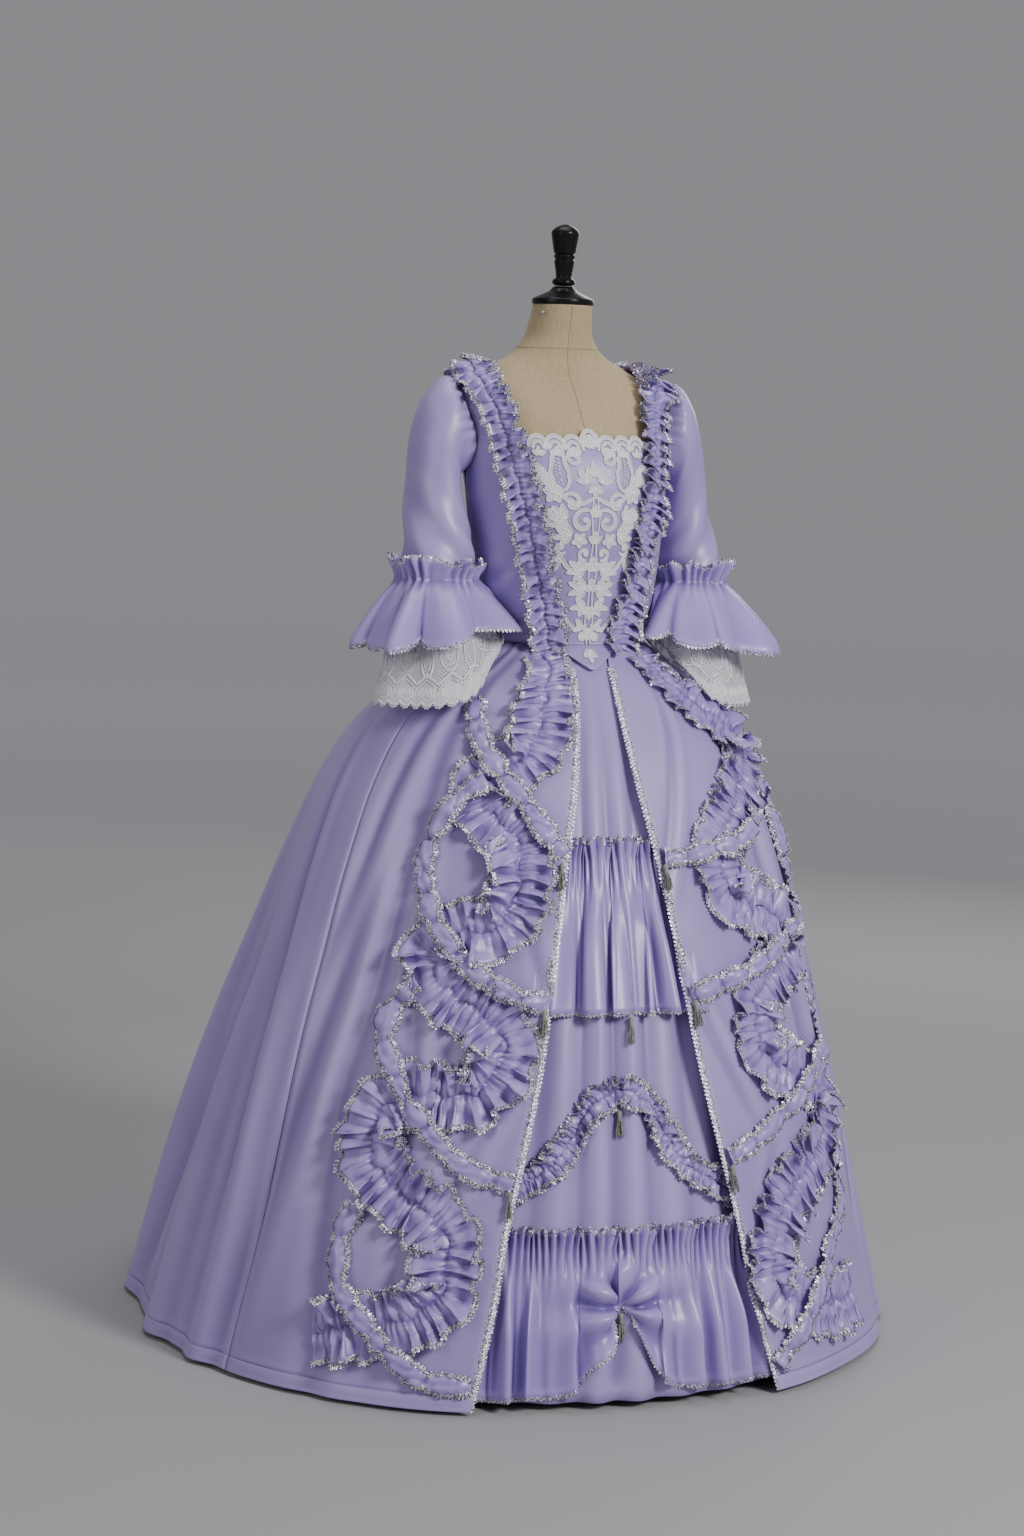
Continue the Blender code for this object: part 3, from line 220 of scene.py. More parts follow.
FOLDS = rows_of(
    Fold,
    (-163, 6.5, 0.022, 1.00), (-143, 6.0, 0.026, 1.02), (-124, 5.5, 0.020, 0.98),
    (-107, 5.5, 0.024, 1.00), (-90, 5.0, 0.018, 0.95), (-74, 4.5, 0.014, 0.90), (75, 4.5, 0.012, 0.88),
    (91, 5.0, 0.018, 0.96), (107, 5.5, 0.022, 1.00), (124, 6.0, 0.024, 0.97), (144, 6.0, 0.020, 1.02),
    (164, 6.5, 0.024, 1.00))

FRONT_EDGE = rows_of(
    Edge,
    (0.000, 24.5), (0.080, 22.8), (0.160, 21.4), (0.250, 20.3), (0.350, 18.2), (0.480, 15.5),
    (0.600, 13.8), (0.750, 11.2), (0.880, 8.0), (0.960, 7.0), (1.030, 9.0), (WAIST, 14.0))

BODICE_FRONT = rows_of(
    PanelRow,
    (0.00, 25.0, WAIST + SEAM, 89.7, WAIST + SEAM), (0.12, 27.5, 1.105, 89.7, 1.105),
    (0.30, 32.0, 1.170, 89.7, 1.170), (0.46, 36.5, 1.235, 89.7, 1.235),
    (0.60, 41.0, 1.300, 89.7, 1.300), (0.70, 44.0, 1.345, 84.0, 1.333),
    (0.80, 46.0, 1.388, 70.0, 1.365), (0.88, 48.0, 1.420, 67.5, 1.400),
    (0.95, 55.0, 1.452, 74.0, 1.432), (1.00, 89.4, 1.478, 89.4, 1.448))

BODICE_BACK = rows_of(
    PanelRow,
    (0.00, 179.7, WAIST + SEAM, 90.3, WAIST + SEAM), (0.12, 179.7, 1.115, 90.3, 1.105),
    (0.30, 179.7, 1.190, 90.3, 1.170), (0.46, 179.7, 1.260, 90.3, 1.235),
    (0.60, 179.7, 1.330, 90.3, 1.300), (0.70, 179.7, 1.370, 97.0, 1.333),
    (0.80, 179.7, 1.405, 110.0, 1.365), (0.88, 179.7, 1.430, 113.0, 1.400),
    (0.95, 150.0, 1.452, 106.0, 1.432), (1.00, 90.6, 1.478, 90.6, 1.448))

STOMACHER_TIP = rows_of(
    Edge,
    (1.030, 0.8), (1.044, 9.0), (1.056, 17.0), (WAIST, 24.5))

ROBING = rows_of(
    Turn,
    (178.0, 1.438), (150.0, 1.456), (120.0, 1.472), (90.0, 1.476), (66.0, 1.466), (52.0, 1.446),
    (46.5, 1.412), (45.0, 1.368), (42.5, 1.320), (38.5, 1.265), (34.5, 1.208), (30.5, 1.148),
    (27.0, 1.085))

WIDE_RUFFLE_RIGHT = rows_of(
    Turn,
    (-27.0, 1.052), (-21.5, 1.028), (-18.5, 0.989), (-18.5, 0.947), (-21.5, 0.912), (-28.5, 0.889),
    (-32.5, 0.861), (-29.0, 0.827), (-23.0, 0.800), (-21.0, 0.752), (-22.5, 0.699), (-26.5, 0.670),
    (-33.5, 0.661), (-38.5, 0.635), (-37.0, 0.599), (-31.5, 0.569), (-25.5, 0.543), (-22.5, 0.503),
    (-24.5, 0.458), (-29.5, 0.436), (-36.5, 0.436), (-42.5, 0.420), (-45.0, 0.382), (-43.5, 0.334),
    (-38.0, 0.295), (-32.5, 0.267), (-29.5, 0.226), (-29.5, 0.178), (-33.0, 0.137), (-38.5, 0.115),
    (-44.5, 0.107), (-50.0, 0.090))

WIDE_RUFFLE_LEFT = rows_of(
    Turn,
    (35.0, 1.048), (35.5, 1.018), (38.5, 0.990), (46.5, 0.961), (53.0, 0.926), (50.0, 0.888),
    (42.0, 0.851), (33.5, 0.811), (28.0, 0.766), (28.5, 0.720), (36.5, 0.691), (46.5, 0.666),
    (52.5, 0.633), (46.5, 0.607), (37.5, 0.587), (31.5, 0.549), (31.0, 0.499), (35.5, 0.459),
    (44.0, 0.437), (50.5, 0.399), (49.0, 0.356), (43.0, 0.320), (36.0, 0.292), (30.5, 0.257),
    (27.0, 0.209), (26.5, 0.163), (30.5, 0.126), (38.0, 0.106), (48.0, 0.102))

RIBBONS_RIGHT = [
    rows_of(Turn, (-43.5, 0.985), (-38.5, 0.952), (-33.5, 0.914), (-27, 0.877),
            (-21, 0.839), (-16, 0.800), (-12.9, 0.776)),
    rows_of(Turn, (-31, 0.868), (-37, 0.845), (-42, 0.803), (-43.5, 0.753), (-41, 0.702),
            (-36, 0.650), (-28.5, 0.602), (-21, 0.575), (-16.9, 0.562)),
    rows_of(Turn, (-39.5, 0.588), (-44.5, 0.557), (-46, 0.515), (-43.5, 0.470),
            (-39, 0.420), (-34, 0.378), (-28, 0.337), (-22, 0.312)),
    rows_of(Turn, (-45.5, 0.275), (-47.5, 0.230), (-47, 0.180), (-43.5, 0.132),
            (-37, 0.080), (-31.5, 0.046), (-27.5, 0.034)),
]

RIBBONS_LEFT = [
    rows_of(Turn, (46.5, 0.829), (41, 0.799), (34, 0.782), (26.5, 0.774), (20, 0.768),
            (15.2, 0.758)),
    rows_of(Turn, (56.5, 0.850), (61, 0.800), (62, 0.738), (58.5, 0.682), (49, 0.642),
            (38, 0.616), (27.5, 0.595), (18.5, 0.574)),
    rows_of(Turn, (60, 0.564), (60.5, 0.514), (56, 0.471), (45, 0.439), (37, 0.402),
            (29, 0.368), (21.8, 0.338)),
    rows_of(Turn, (48.5, 0.315), (51.5, 0.272), (49.5, 0.230), (43.5, 0.189), (37, 0.145),
            (31.5, 0.097), (26, 0.062)),
]

GARLAND = rows_of(
    Turn,
    (-23.0, 0.300), (-19.0, 0.312), (-14.0, 0.334), (-9.5, 0.378), (-5.5, 0.424), (0.0, 0.446),
    (5.5, 0.424), (9.0, 0.374), (12.5, 0.334), (17.0, 0.312), (22.0, 0.284))

SWAG = rows_of(
    Hem,
    (-28.0, 0.014), (-17.0, 0.018), (-9.0, 0.030), (-4.5, 0.080), (-1.0, 0.140), (2.0, 0.090),
    (5.0, 0.038), (12.0, 0.024), (27.0, 0.020))

UPPER_FLOUNCE = rows_of(
    FlounceRow,
    (0.556, 21.0, 0.013), (0.650, 20.0, 0.010), (0.735, 19.0, 0.004), (0.772, 18.5, 0.000),
    (0.794, 18.5, 0.005))

SLEEVE = rows_of(
    SleeveRing,
    (0.169, 1.306, 0.191, 1.462, 0.062, -0.002), (0.166, 1.288, 0.222, 1.434, 0.064, -0.006),
    (0.160, 1.264, 0.239, 1.384, 0.064, -0.010), (0.153, 1.238, 0.246, 1.324, 0.062, -0.016),
    (0.147, 1.210, 0.252, 1.258, 0.059, -0.024), (0.145, 1.184, 0.257, 1.202, 0.057, -0.031),
    (0.145, CUFF, 0.260, CUFF, 0.056, -0.036))

LEFT_SLEEVE = rows_of(
    LeftRing,
    (0.006, -0.004, 0.002), (0.009, -0.012, 0.010), (0.013, -0.010, 0.022), (0.018, -0.004, 0.030),
    (0.022, 0.002, 0.034), (0.026, 0.010, 0.034), (0.027, 0.014, 0.034))

FLOUNCE_DROP = rows_of(
    Drop,
    (-0.026, 0.0100, 0.003), (-0.004, 0.0030, 0.000), (0.022, 0.0200, 0.004), (0.058, 0.0400, 0.009),
    (0.094, 0.0550, 0.013))

LACE_DROP = rows_of(
    Drop,
    (0.0007, -0.0010, 0.000), (0.050, 0.0060, 0.002), (0.118, 0.0220, 0.005), (0.190, 0.0360, 0.008))

CAP_PROFILE = rows_of(
    Turned,
    (0.0000, 1.6065), (0.0150, 1.6060), (0.0220, 1.5985), (0.0450, 1.5880), (0.0475, 1.5860),
    (0.0475, 1.5795), (0.0455, NECK_TOP + SEAM), (0.0000, NECK_TOP + SEAM))


TASSEL_HEAD = rows_of(
    Turned,
    (0.0004, 0.0082), (0.0030, 0.0070), (0.0042, 0.0040), (0.0040, 0.0010), (0.0026, -0.0012),
    (0.0033, -0.0024), (0.0026, -0.0036), (0.0040, -0.0080), (0.0004, -0.0090))

LIGHTS = rows_of(
    Light,
    ("key", (1.9, -4.2, 3.2), 1.5, 225.0), ("fill", (-3.8, -2.2, 2.2), 2.2, 36.0),
    ("top", (0.0, 0.4, 4.4), 2.2, 45.0), ("rim", (2.4, 3.2, 2.6), 2.0, 40.0))

TRIMS = (("right", -1, WIDE_RUFFLE_RIGHT, RIBBONS_RIGHT), ("left", 1, WIDE_RUFFLE_LEFT, RIBBONS_LEFT))


def blend(rows, place):
    """The rows' other columns at places along their first, smoothly and with no overshoot."""
    table = np.array(sorted(rows), float)
    x, y = table[:, 0], table[:, 1:]
    slope = np.diff(y, axis=0) / np.diff(x)[:, None]
    before, after = slope[:-1], slope[1:]
    least = np.minimum(np.abs(before), np.abs(after))
    steady = np.sign(before) * np.minimum(np.abs(before + after) / 2, 3 * least)
    lean = np.vstack([slope[:1], np.where(before * after > 0, steady, 0.0), slope[-1:]])
    place = np.clip(np.asarray(place, float), x[0], x[-1])
    k = np.clip(np.searchsorted(x, place, side="right") - 1, 0, len(x) - 2)
    step = (x[k + 1] - x[k])[..., None]
    s = (place - x[k])[..., None] / step
    start = (2 * s**3 - 3 * s**2 + 1) * y[k] + (s**3 - 2 * s**2 + s) * step * lean[k]
    end = (3 * s**2 - 2 * s**3) * y[k + 1] + (s**3 - s**2) * step * lean[k + 1]
    return start + end


def ease(x):
    """0 below 0, 1 above 1 and a smooth rise between."""
    x = np.clip(x, 0, 1)
    return x * x * (3 - 2 * x)


def swell(x):
    """A wave between 0 and 1."""
    return 0.5 + 0.5 * np.sin(x)


def hump(x):
    """A smooth hill: 1 at 0, and almost 0 past 2 on both sides."""
    return np.exp(-(x**2))


def section_point(rows, angle, height):
    """Points of a body given by its level sections."""
    angle, height = np.broadcast_arrays(np.asarray(angle, float), np.asarray(height, float))
    side, front, back, sideways, lean = np.moveaxis(blend(rows, height), -1, 0)
    a = np.radians(angle)
    depth = np.where(np.cos(a) > 0, front, back)
    return np.stack([side * np.sin(a) + sideways, -depth * np.cos(a) - lean, height], -1)


def directions(surface, angle, height):
    """The surface's steps per degree and per metre of height, and its outward normal."""
    turn = surface(angle + 0.5, height) - surface(angle - 0.5, height)
    rise = (surface(angle, height + 0.002) - surface(angle, height - 0.002)) / 0.004
    normal = np.cross(turn, rise)
    return turn, rise, normal / np.linalg.norm(normal, axis=-1, keepdims=True)


def lifted(surface, angle, height, lift):
    """Points of a surface moved out along its normal."""
    angle, height = np.broadcast_arrays(np.asarray(angle, float), np.asarray(height, float))
    normal = directions(surface, angle, height)[2]
    return surface(angle, height) + normal * np.asarray(lift)[..., None]


def body(angle, height):
    """Outer face of the bodice, and of the form's neck."""
    return section_point(BODY, angle, height)


def plain_skirt(angle, height):
    """Outer face of the overskirt without its folds."""
    return section_point(SKIRT, angle, height)


def dress_form(angle, height):
    """Outer face of the form's torso and neck."""
    inset = blend(FORM_INSET, height)[..., 0]
    return lifted(body, angle, height, -inset)


def gown_front(angle, height):
    """The bodice above the waist and the overskirt below it."""
    above = body(angle, np.maximum(height, WAIST))
    below = plain_skirt(angle, np.minimum(height, WAIST))
    return np.where((np.asarray(height) >= WAIST)[..., None], above, below)


def tip_lift(height):
    """How far the stomacher's tip stands off, so that it lies over the overskirt."""
    return TIP_LIFT * (1 - ease((height - TIP_SWELL_LOW) / TIP_SWELL_SPAN))


def front_edge(height):
    """Angle of the overskirt's front edge."""
    return float(blend(FRONT_EDGE, height)[0])


def skirt_top(x, y):
    """Height at which the skirt passes over points of the floor plan."""
    heights = np.linspace(WAIST, 0.5, 220)
    side, front, back, sideways, _ = np.moveaxis(blend(SKIRT, heights), -1, 0)
    across = (np.ravel(x)[:, None] - sideways) / side
    deep = np.ravel(y)[:, None]
    deep = deep / np.where(deep < 0, front, back)
    inside = across**2 + deep**2 < 1
    found = np.where(inside.any(axis=1), heights[np.argmax(inside, axis=1)], 0.0)
    return found.reshape(np.shape(x))


def clear_of_body(points, gap):
    """The points, with those that would meet the bodice pushed straight out from it."""
    height = np.maximum(points[..., 2], WAIST)
    side, front, back, sideways, lean = np.moveaxis(blend(BODY, height), -1, 0)
    x, y = points[..., 0] - sideways, points[..., 1] + lean
    depth = np.where(y < 0, front, back) + gap
    reach = np.hypot(x / (side + gap), y / depth)
    push = np.maximum(1 / np.maximum(reach, LEAST_REACH), 1.0)
    return np.stack([x * push + sideways, y * push - lean, points[..., 2]], -1)


def clear_of_skirt(points, gap):
    """The points, with those that would meet the skirt lifted onto it."""
    floor = skirt_top(points[..., 0], points[..., 1]) + gap
    return np.stack([points[..., 0], points[..., 1], np.maximum(points[..., 2], floor)], -1)


class Route:
    """A smooth path over a surface, read off at even steps of its length."""

    def __init__(self, surface, rows, steps):
        table = [(mark, *row) for mark, row in enumerate(rows)]
        fine = blend(table, np.linspace(0, len(rows) - 1, 40 * len(rows)))
        points = surface(fine[:, 0], fine[:, 1])
        walked = np.append(0.0, np.cumsum(np.linalg.norm(np.diff(points, axis=0), axis=1)))
        self.along = np.linspace(0, walked[-1], steps + 1)
        self.angle = np.interp(self.along, walked, fine[:, 0])
        self.height = np.interp(self.along, walked, fine[:, 1])
        self.points = surface(self.angle, self.height)
        turn, rise, _ = directions(surface, self.angle, self.height)
        per_turn = np.linalg.norm(turn, axis=1)
        per_rise = np.linalg.norm(rise, axis=1)
        run = np.gradient(self.angle, self.along) * per_turn
        climb = np.gradient(self.height, self.along) * per_rise
        size = np.hypot(run, climb)
        self.across_angle = climb / size / per_turn
        self.across_height = -run / size / per_rise
        self.bend = np.gradient(np.unwrap(np.arctan2(climb, run)), self.along)

    def place(self, across):
        """Angle and height of the points this far across the path, held in on tight bends."""
        room = BEND_ROOM / np.maximum(np.abs(self.bend), 1e-6)
        inside = across * self.bend < 0
        across = np.where(inside, np.sign(across) * np.minimum(np.abs(across), room), across)
        return self.angle + across * self.across_angle, self.height + across * self.across_height


def nearest(points, others):
    """Distance from each point to the nearest of the others."""
    return np.linalg.norm(points[:, None, :] - others[None, :, :], axis=2).min(axis=1)


def stomacher_half(level):
    """Half of the stomacher's width in degrees."""
    if level < WAIST:
        return float(blend(STOMACHER_TIP, level)[0])
    shares = np.linspace(0, 1, 200)
    near = blend(BODICE_FRONT, shares)
    return float(np.interp(level, near[:, 1], near[:, 0])) - STOMACHER_SEAM


def sleeve_ring(sign, ring, phase, out=0.0):
    """Points round a sleeve at one of its rings, at the outer side first."""
    row = SLEEVE[ring]
    left = LEFT_SLEEVE[ring] if sign > 0 else LeftRing(0.0, 0.0, 0.0)
    inner, outer = row.inner_x + left.inward - out, row.outer_x + left.outward + out
    x = (outer + inner + (outer - inner) * np.cos(phase)) / 2
    y = row.middle_y + left.back - (row.half_depth + out) * np.sin(phase)
    z = (row.outer_z + row.inner_z + (row.outer_z - row.inner_z) * np.cos(phase)) / 2
    return np.stack([sign * x, y, z], 1)


def wobble(x, seed):
    """A smooth uneven wave between about -1 and 1, the same on every run."""
    draw = np.random.default_rng(seed)
    out = 0.0
    for period, size in ((0.31, 0.5), (0.17, 0.35), (0.083, 0.25)):
        out = out + size * np.sin(tau * (x / (period * draw.uniform(0.8, 1.2)) + draw.uniform()))
    return out


def unit(vectors):
    return vectors / np.maximum(np.linalg.norm(vectors, axis=-1, keepdims=True), 1e-12)


def mesh_object(name, points, faces, material, uvs=None, smooth=True):
    mesh = bpy.data.meshes.new(name)
    mesh.from_pydata(np.asarray(points, float).tolist(), [], faces)
    if smooth:
        mesh.shade_smooth()
    if uvs is not None:
        loops = np.empty(len(mesh.loops), np.int32)
        mesh.loops.foreach_get("vertex_index", loops)
        mesh.uv_layers.new(name="cut").data.foreach_set("uv", np.asarray(uvs)[loops].ravel())
    mesh.materials.append(material)
    obj = bpy.data.objects.new(name, mesh)
    bpy.context.scene.collection.objects.link(obj)
    return obj


def grid_faces(rows, columns, around=False, first=0):
    """Quads over a net of points stored row by row."""
    index = first + np.arange(rows * columns).reshape(rows, columns)
    if around:
        index = np.hstack([index, index[:, :1]])
    quads = [index[:-1, :-1], index[:-1, 1:], index[1:, 1:], index[1:, :-1]]
    return np.stack(quads, -1).reshape(-1, 4).tolist()


def metres(points):
    """UV of a net of points, in metres across and along the cloth."""
    across = np.linalg.norm(np.diff(points, axis=1), axis=2).mean(0)
    along = np.linalg.norm(np.diff(points, axis=0), axis=2).mean(1)
    u, v = np.append(0, np.cumsum(across)), np.append(0, np.cumsum(along))
    grid_u, grid_v = np.meshgrid(u, v)
    return np.stack([grid_u, grid_v], -1).reshape(-1, 2)


def cloth(name, points, material, wall=WALL, around=False):
    """A thin wall of cloth whose outer face passes through rows of points."""
    points = np.asarray(points, float)
    rows, columns = points.shape[:2]
    faces = grid_faces(rows, columns, around)
    obj = mesh_object(name, points.reshape(-1, 3), faces, material, metres(points))
    if wall:
        solid = obj.modifiers.new("wall", "SOLIDIFY")
        solid.thickness, solid.offset = wall, -1.0
    return obj


def dress(obj, slot, *nodes):
    """The piece rides on the root and stands for these CAD nodes; its slot is not used."""
    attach(obj, "root")
    if nodes:
        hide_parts(*nodes)
    return obj


class Strip:
    """Meshes joined into one piece, such as the lengths of braid on one ruffle."""

    def __init__(self):
        self.points, self.faces, self.count = [], [], 0

    def add(self, points, faces):
        self.points.append(np.asarray(points, float))
        self.faces += [[i + self.count for i in face] for face in faces]
        self.count += len(points)

    def add_grid(self, net, around=False):
        rows, columns = net.shape[:2]
        self.faces += grid_faces(rows, columns, around, self.count)
        self.points.append(net.reshape(-1, 3))
        self.count += rows * columns

    def make(self, name, material, smooth=False):
        return mesh_object(name, np.concatenate(self.points), self.faces, material, None, smooth)


def resample(line, step, *others):
    """A line of points and its companions, read off at even steps of its length."""
    walked = np.append(0, np.cumsum(np.linalg.norm(np.diff(line, axis=0), axis=1)))
    at = np.linspace(0, walked[-1], max(int(walked[-1] / step), 3))
    sets = (line, *others)
    return [np.stack([np.interp(at, walked, one[:, k]) for k in range(3)], 1) for one in sets]


def braid(strip, edge, inner, side, width=BRAID_WIDTH, over=0.0010):
    """A scalloped braid along an edge of cloth; inner is the line of points next to the edge."""
    edge, inner = resample(edge, PICOT / PICOT_STEPS, inner)
    ahead = unit(np.gradient(edge, axis=0))
    out = edge - inner
    out = unit(out - ahead * (out * ahead).sum(1, keepdims=True))
    normal = unit(np.cross(ahead, out)) * side
    step = np.arange(len(edge))
    loop = np.abs(np.sin(pi * step / PICOT_STEPS))[:, None] ** 0.7
    twist = (step % 2 == 0)[:, None]
    top_in = edge - out * (width - 0.0010 * loop) + normal * (0.0006 + 0.0010 * twist)
    top_mid = edge - out * width * 0.45 + normal * (0.0019 - 0.0011 * twist)
    top_out = edge + out * (over + 0.0034 * loop) + normal * (0.0005 + 0.0011 * loop)
    under = (top_in + top_out) / 2 - normal * 0.0012
    strip.add_grid(np.stack([top_in, top_mid, top_out, under], 1), around=True)


class Side:
    """One half of a gathered strip: its flutes are spaced by the length of its own edge."""

    def __init__(self, side, route, half, pitch, seed):
        self.scale = np.clip(1 + side * half * route.bend, 0.62, 1.25)
        step = route.along[1]
        walked = np.cumsum(self.scale) * step
        uneven = wobble(route.along, seed + side)
        short = wobble(2.7 * route.along, seed + 3 + side)
        ripple = np.sin(tau * route.along / (2.7 * pitch) + seed)
        self.phase = tau * walked / pitch + 2.6 * uneven + 1.2 * short + 0.8 * ripple
        self.fine = tau * walked / (0.43 * pitch) + 2.0 * short
        self.size = np.clip(0.86 + 0.55 * wobble(1.9 * route.along, seed + 5 + side), 0.28, 1.45)
        self.size = self.size * (1 + 0.9 * np.clip(1 - self.scale, 0, 1))


def gathered(surface, rows, half, pitch, rise, seat, seed, spread=None, calm=None, columns=13):
    """Points of a strip ruched along its middle, with both edges standing out in uneven flutes."""
    steps = int(Route(surface, rows, 200).along[-1] / pitch * 11)
    route = Route(surface, rows, steps)
    s = route.along
    spread = np.ones_like(s) if spread is None else spread(route)
    calm = np.ones_like(s) if calm is None else calm(route)
    room = BEND_ROOM / np.maximum(np.abs(route.bend), 1e-6)
    run, climb = np.gradient(route.angle, s), np.gradient(route.height, s)
    sides = {side: Side(side, route, half, pitch, seed) for side in (-1, 1)}
    reach = half * spread
    net = []
    for t in np.linspace(-1, 1, columns):
        a = abs(t)
        side = -1 if t < 0 else 1
        wave = sides[side]
        held = np.where(side * route.bend < 0, np.minimum(reach, room), reach)
        flute = swell(wave.phase + 0.7 * a) ** 0.8
        pucker = swell(wave.fine + 1.5 * a)
        puff = hump((a - PUFF_AT) / PUFF_WIDE) - hump(PUFF_AT / PUFF_WIDE) * (1 - a)
        lift = calm * rise * (wave.size * a**0.9 * flute + puff * (0.14 + 0.22 * pucker))
        lift = np.maximum(lift + np.minimum(reach - held, SPARE) * 0.7 * a, 0.0)
        out = held * a * (1 + a * EDGE_SWING * np.sin(0.5 * wave.phase + 1.2 * t))
        out = np.sqrt(np.maximum(out**2 - lift**2, (0.6 * out) ** 2))
        curl = 0.20 * np.sin(2 * wave.phase) + 0.12 * np.cos(wave.phase)
        along = a * calm * pitch / wave.scale * curl
        across = side * out + (1 - a) * SWAY * half * np.sin(0.5 * wave.phase + 0.4)
        angle = route.angle + across * route.across_angle + along * run
        height = route.height + across * route.across_height + along * climb
        net.append(lifted(surface, angle, height - DROOP * a * lift, seat + lift))
    return np.stack(net, 1)


def bind(name, *edges):
    """A piece of braid along edges of cloth: each has its line, the line beside it, side and width."""
    strip = Strip()
    for edge in edges:
        braid(strip, *edge)
    return dress(strip.make(name + "_braid", silver), "silver_braid")


def ruffle_piece(name, node, net):
    """A double-edged ruffle, one gathered sheet, with its two braids."""
    piece = dress(cloth(name, net, gathered_satin_painted_shade, RUFFLE_WALL), "lilac_satin", node)
    trim = bind(name, (net[:, 0], net[:, 1], 1), (net[:, -1], net[:, -2], -1))


def drift(angle, height):
    """Slow unevenness of hanging cloth, in metres."""
    a = np.radians(angle)
    one = np.sin(7 * a + 5 * height + 0.4) + 0.7 * np.sin(12 * a - 8 * height + 1.9)
    return 0.0020 * one * ease((1.02 - height) / 0.4)


def ridge(fold, middle, spread, fade, angle, height):
    """A fold that runs down from its top, round across and deepest at its middle."""
    crest = np.clip((angle - middle) / spread, -1, 1)
    return fold.depth * np.cos(crest * pi / 2) ** 2 * ease((fold.top - height) / fade)


def skirt(angle, height):
    """Outer face of the overskirt, with its folds and its creases."""
    angle, height = np.broadcast_arrays(np.asarray(angle, float), np.asarray(height, float))
    out = drift(angle, height)
    for fold in FOLDS:
        out = out + ridge(fold, fold.angle, 1.25 * fold.spread, FOLD_FADE, angle, height)
    for crease in CREASES:
        up = (height - crease.height) / crease.reach
        across = (angle - crease.angle - crease.lean * up) / crease.spread
        soft = hump(across) - 0.7 * hump(across - 1.7)
        out = out - crease.depth * soft * np.exp(-(up**4) * 2)
    points = lifted(plain_skirt, angle, height, out)
    points[..., 2] = height
    return points


def petticoat(angle, height):
    """Outer face of the petticoat, with the long folds that show in the gown's opening."""
    angle, height = np.broadcast_arrays(np.asarray(angle, float), np.asarray(height, float))
    out = -blend(PETTICOAT_INSET, height)[..., 0]
    for fold in CENTRE_FOLDS:
        middle = fold.angle + FOLD_LEAN * (height - 0.6)
        out = out + ridge(fold, middle, fold.spread, CENTRE_FADE, angle, height)
    points = lifted(plain_skirt, angle, height, out)
    points[..., 2] += (height - points[..., 2]) * ease((LEVEL_BELOW - height) / LEVEL_FADE)
    return points


class Shader:
    """A material with one shader, and short ways to drive its sockets from textures."""

    def __init__(self, name, colour, roughness, metallic=0.0):
        self.material = bpy.data.materials.new(name)
        self.material.use_nodes = True
        self.nodes, self.links = self.material.node_tree.nodes, self.material.node_tree.links
        self.sockets = self.nodes["Principled BSDF"].inputs
        self.set("Base Color", (*colour, 1.0))
        self.set("Roughness", roughness)
        self.set("Metallic", metallic)

    def set(self, socket, value):
        self.sockets[socket].default_value = value

    def texture(self, kind, space, scale, stretch=(1.0, 1.0, 1.0), turn=0.0, **settings):
        """A texture's factor, read in the object's own space or in its cut's UV, both in metres."""
        place = self.nodes.new("ShaderNodeTexCoord")
        mapping = self.nodes.new("ShaderNodeMapping")
        mapping.inputs["Scale"].default_value = stretch
        mapping.inputs["Rotation"].default_value = (0.0, 0.0, turn)
        made = self.nodes.new("ShaderNodeTex" + kind)
        made.inputs["Scale"].default_value = scale
        for key, value in settings.items():
            if key in made.inputs:
                made.inputs[key].default_value = value
            else:
                setattr(made, key, value)
        self.links.new(place.outputs[space], mapping.inputs["Vector"])
        self.links.new(mapping.outputs["Vector"], made.inputs["Vector"])
        return made.outputs["Fac"]

    def vary(self, target, source, low, high, at=(0.3, 0.7)):
        """Drives a socket from a source: the values or colours low and high at two levels of it."""
        ramp = self.nodes.new("ShaderNodeValToRGB")
        for stop, place, value in zip(ramp.color_ramp.elements, at, (low, high)):
            stop.position = place
            stop.color = (*value, 1.0) if isinstance(value, tuple) else (value, value, value, 1.0)
        self.links.new(source, ramp.inputs["Fac"])
        self.links.new(ramp.outputs["Color"], self.sockets[target] if isinstance(target, str) else target)

    def bump(self, source, strength, distance):
        node = self.nodes.new("ShaderNodeBump")
        node.inputs["Strength"].default_value = strength
        node.inputs["Distance"].default_value = distance
        self.links.new(source, node.inputs["Height"])
        self.links.new(node.outputs["Normal"], self.sockets["Normal"])


def make_satin(name, low, high, gloss, roughness):
    """Satin: a long thread in its gloss, and painted shade: a darker colour multiplied into the valleys of
    its folds.
    """
    made = Shader(name, high, roughness)
    for socket, value in (("Sheen Weight", 0.20), ("Sheen Roughness", 0.35), ("Anisotropic", 0.5),
                          ("Specular IOR Level", gloss), ("Sheen Tint", (0.70, 0.64, 1.0, 1.0))):
        made.set(socket, value)
    # Painted shade: the base colour is the noise tone multiplied by a darker violet where the folds are
    # hollow.
    painted_fold_shade = made.nodes.new("ShaderNodeMix")
    painted_fold_shade.data_type, painted_fold_shade.blend_type = "RGBA", "MULTIPLY"
    painted_fold_shade.inputs["Factor"].default_value = 1.0
    colour_a, colour_b = (painted_fold_shade.inputs[k] for k in (6, 7))
    made.vary(colour_a, made.texture("Noise", "Object", 5.0, Detail=3.0), low, high)
    # Painted shade mask: low pointiness (the hollows between folds) gives the multiply colour (0.42, 0.38,
    # 0.56), and crests give white.
    folds = made.nodes.new("ShaderNodeNewGeometry").outputs["Pointiness"]
    made.vary(colour_b, folds, (0.42, 0.38, 0.56), (1.0, 1.0, 1.0), (0.455, 0.512))
    made.links.new(painted_fold_shade.outputs[2], made.sockets["Base Color"])
    thread = made.texture("Noise", "UV", 1.0, (2600.0, 170.0, 1.0), Detail=2.0)
    made.vary("Roughness", thread, 0.88 * roughness, 1.1 * roughness)
    made.bump(thread, 0.10, 0.0004)
    return made.material


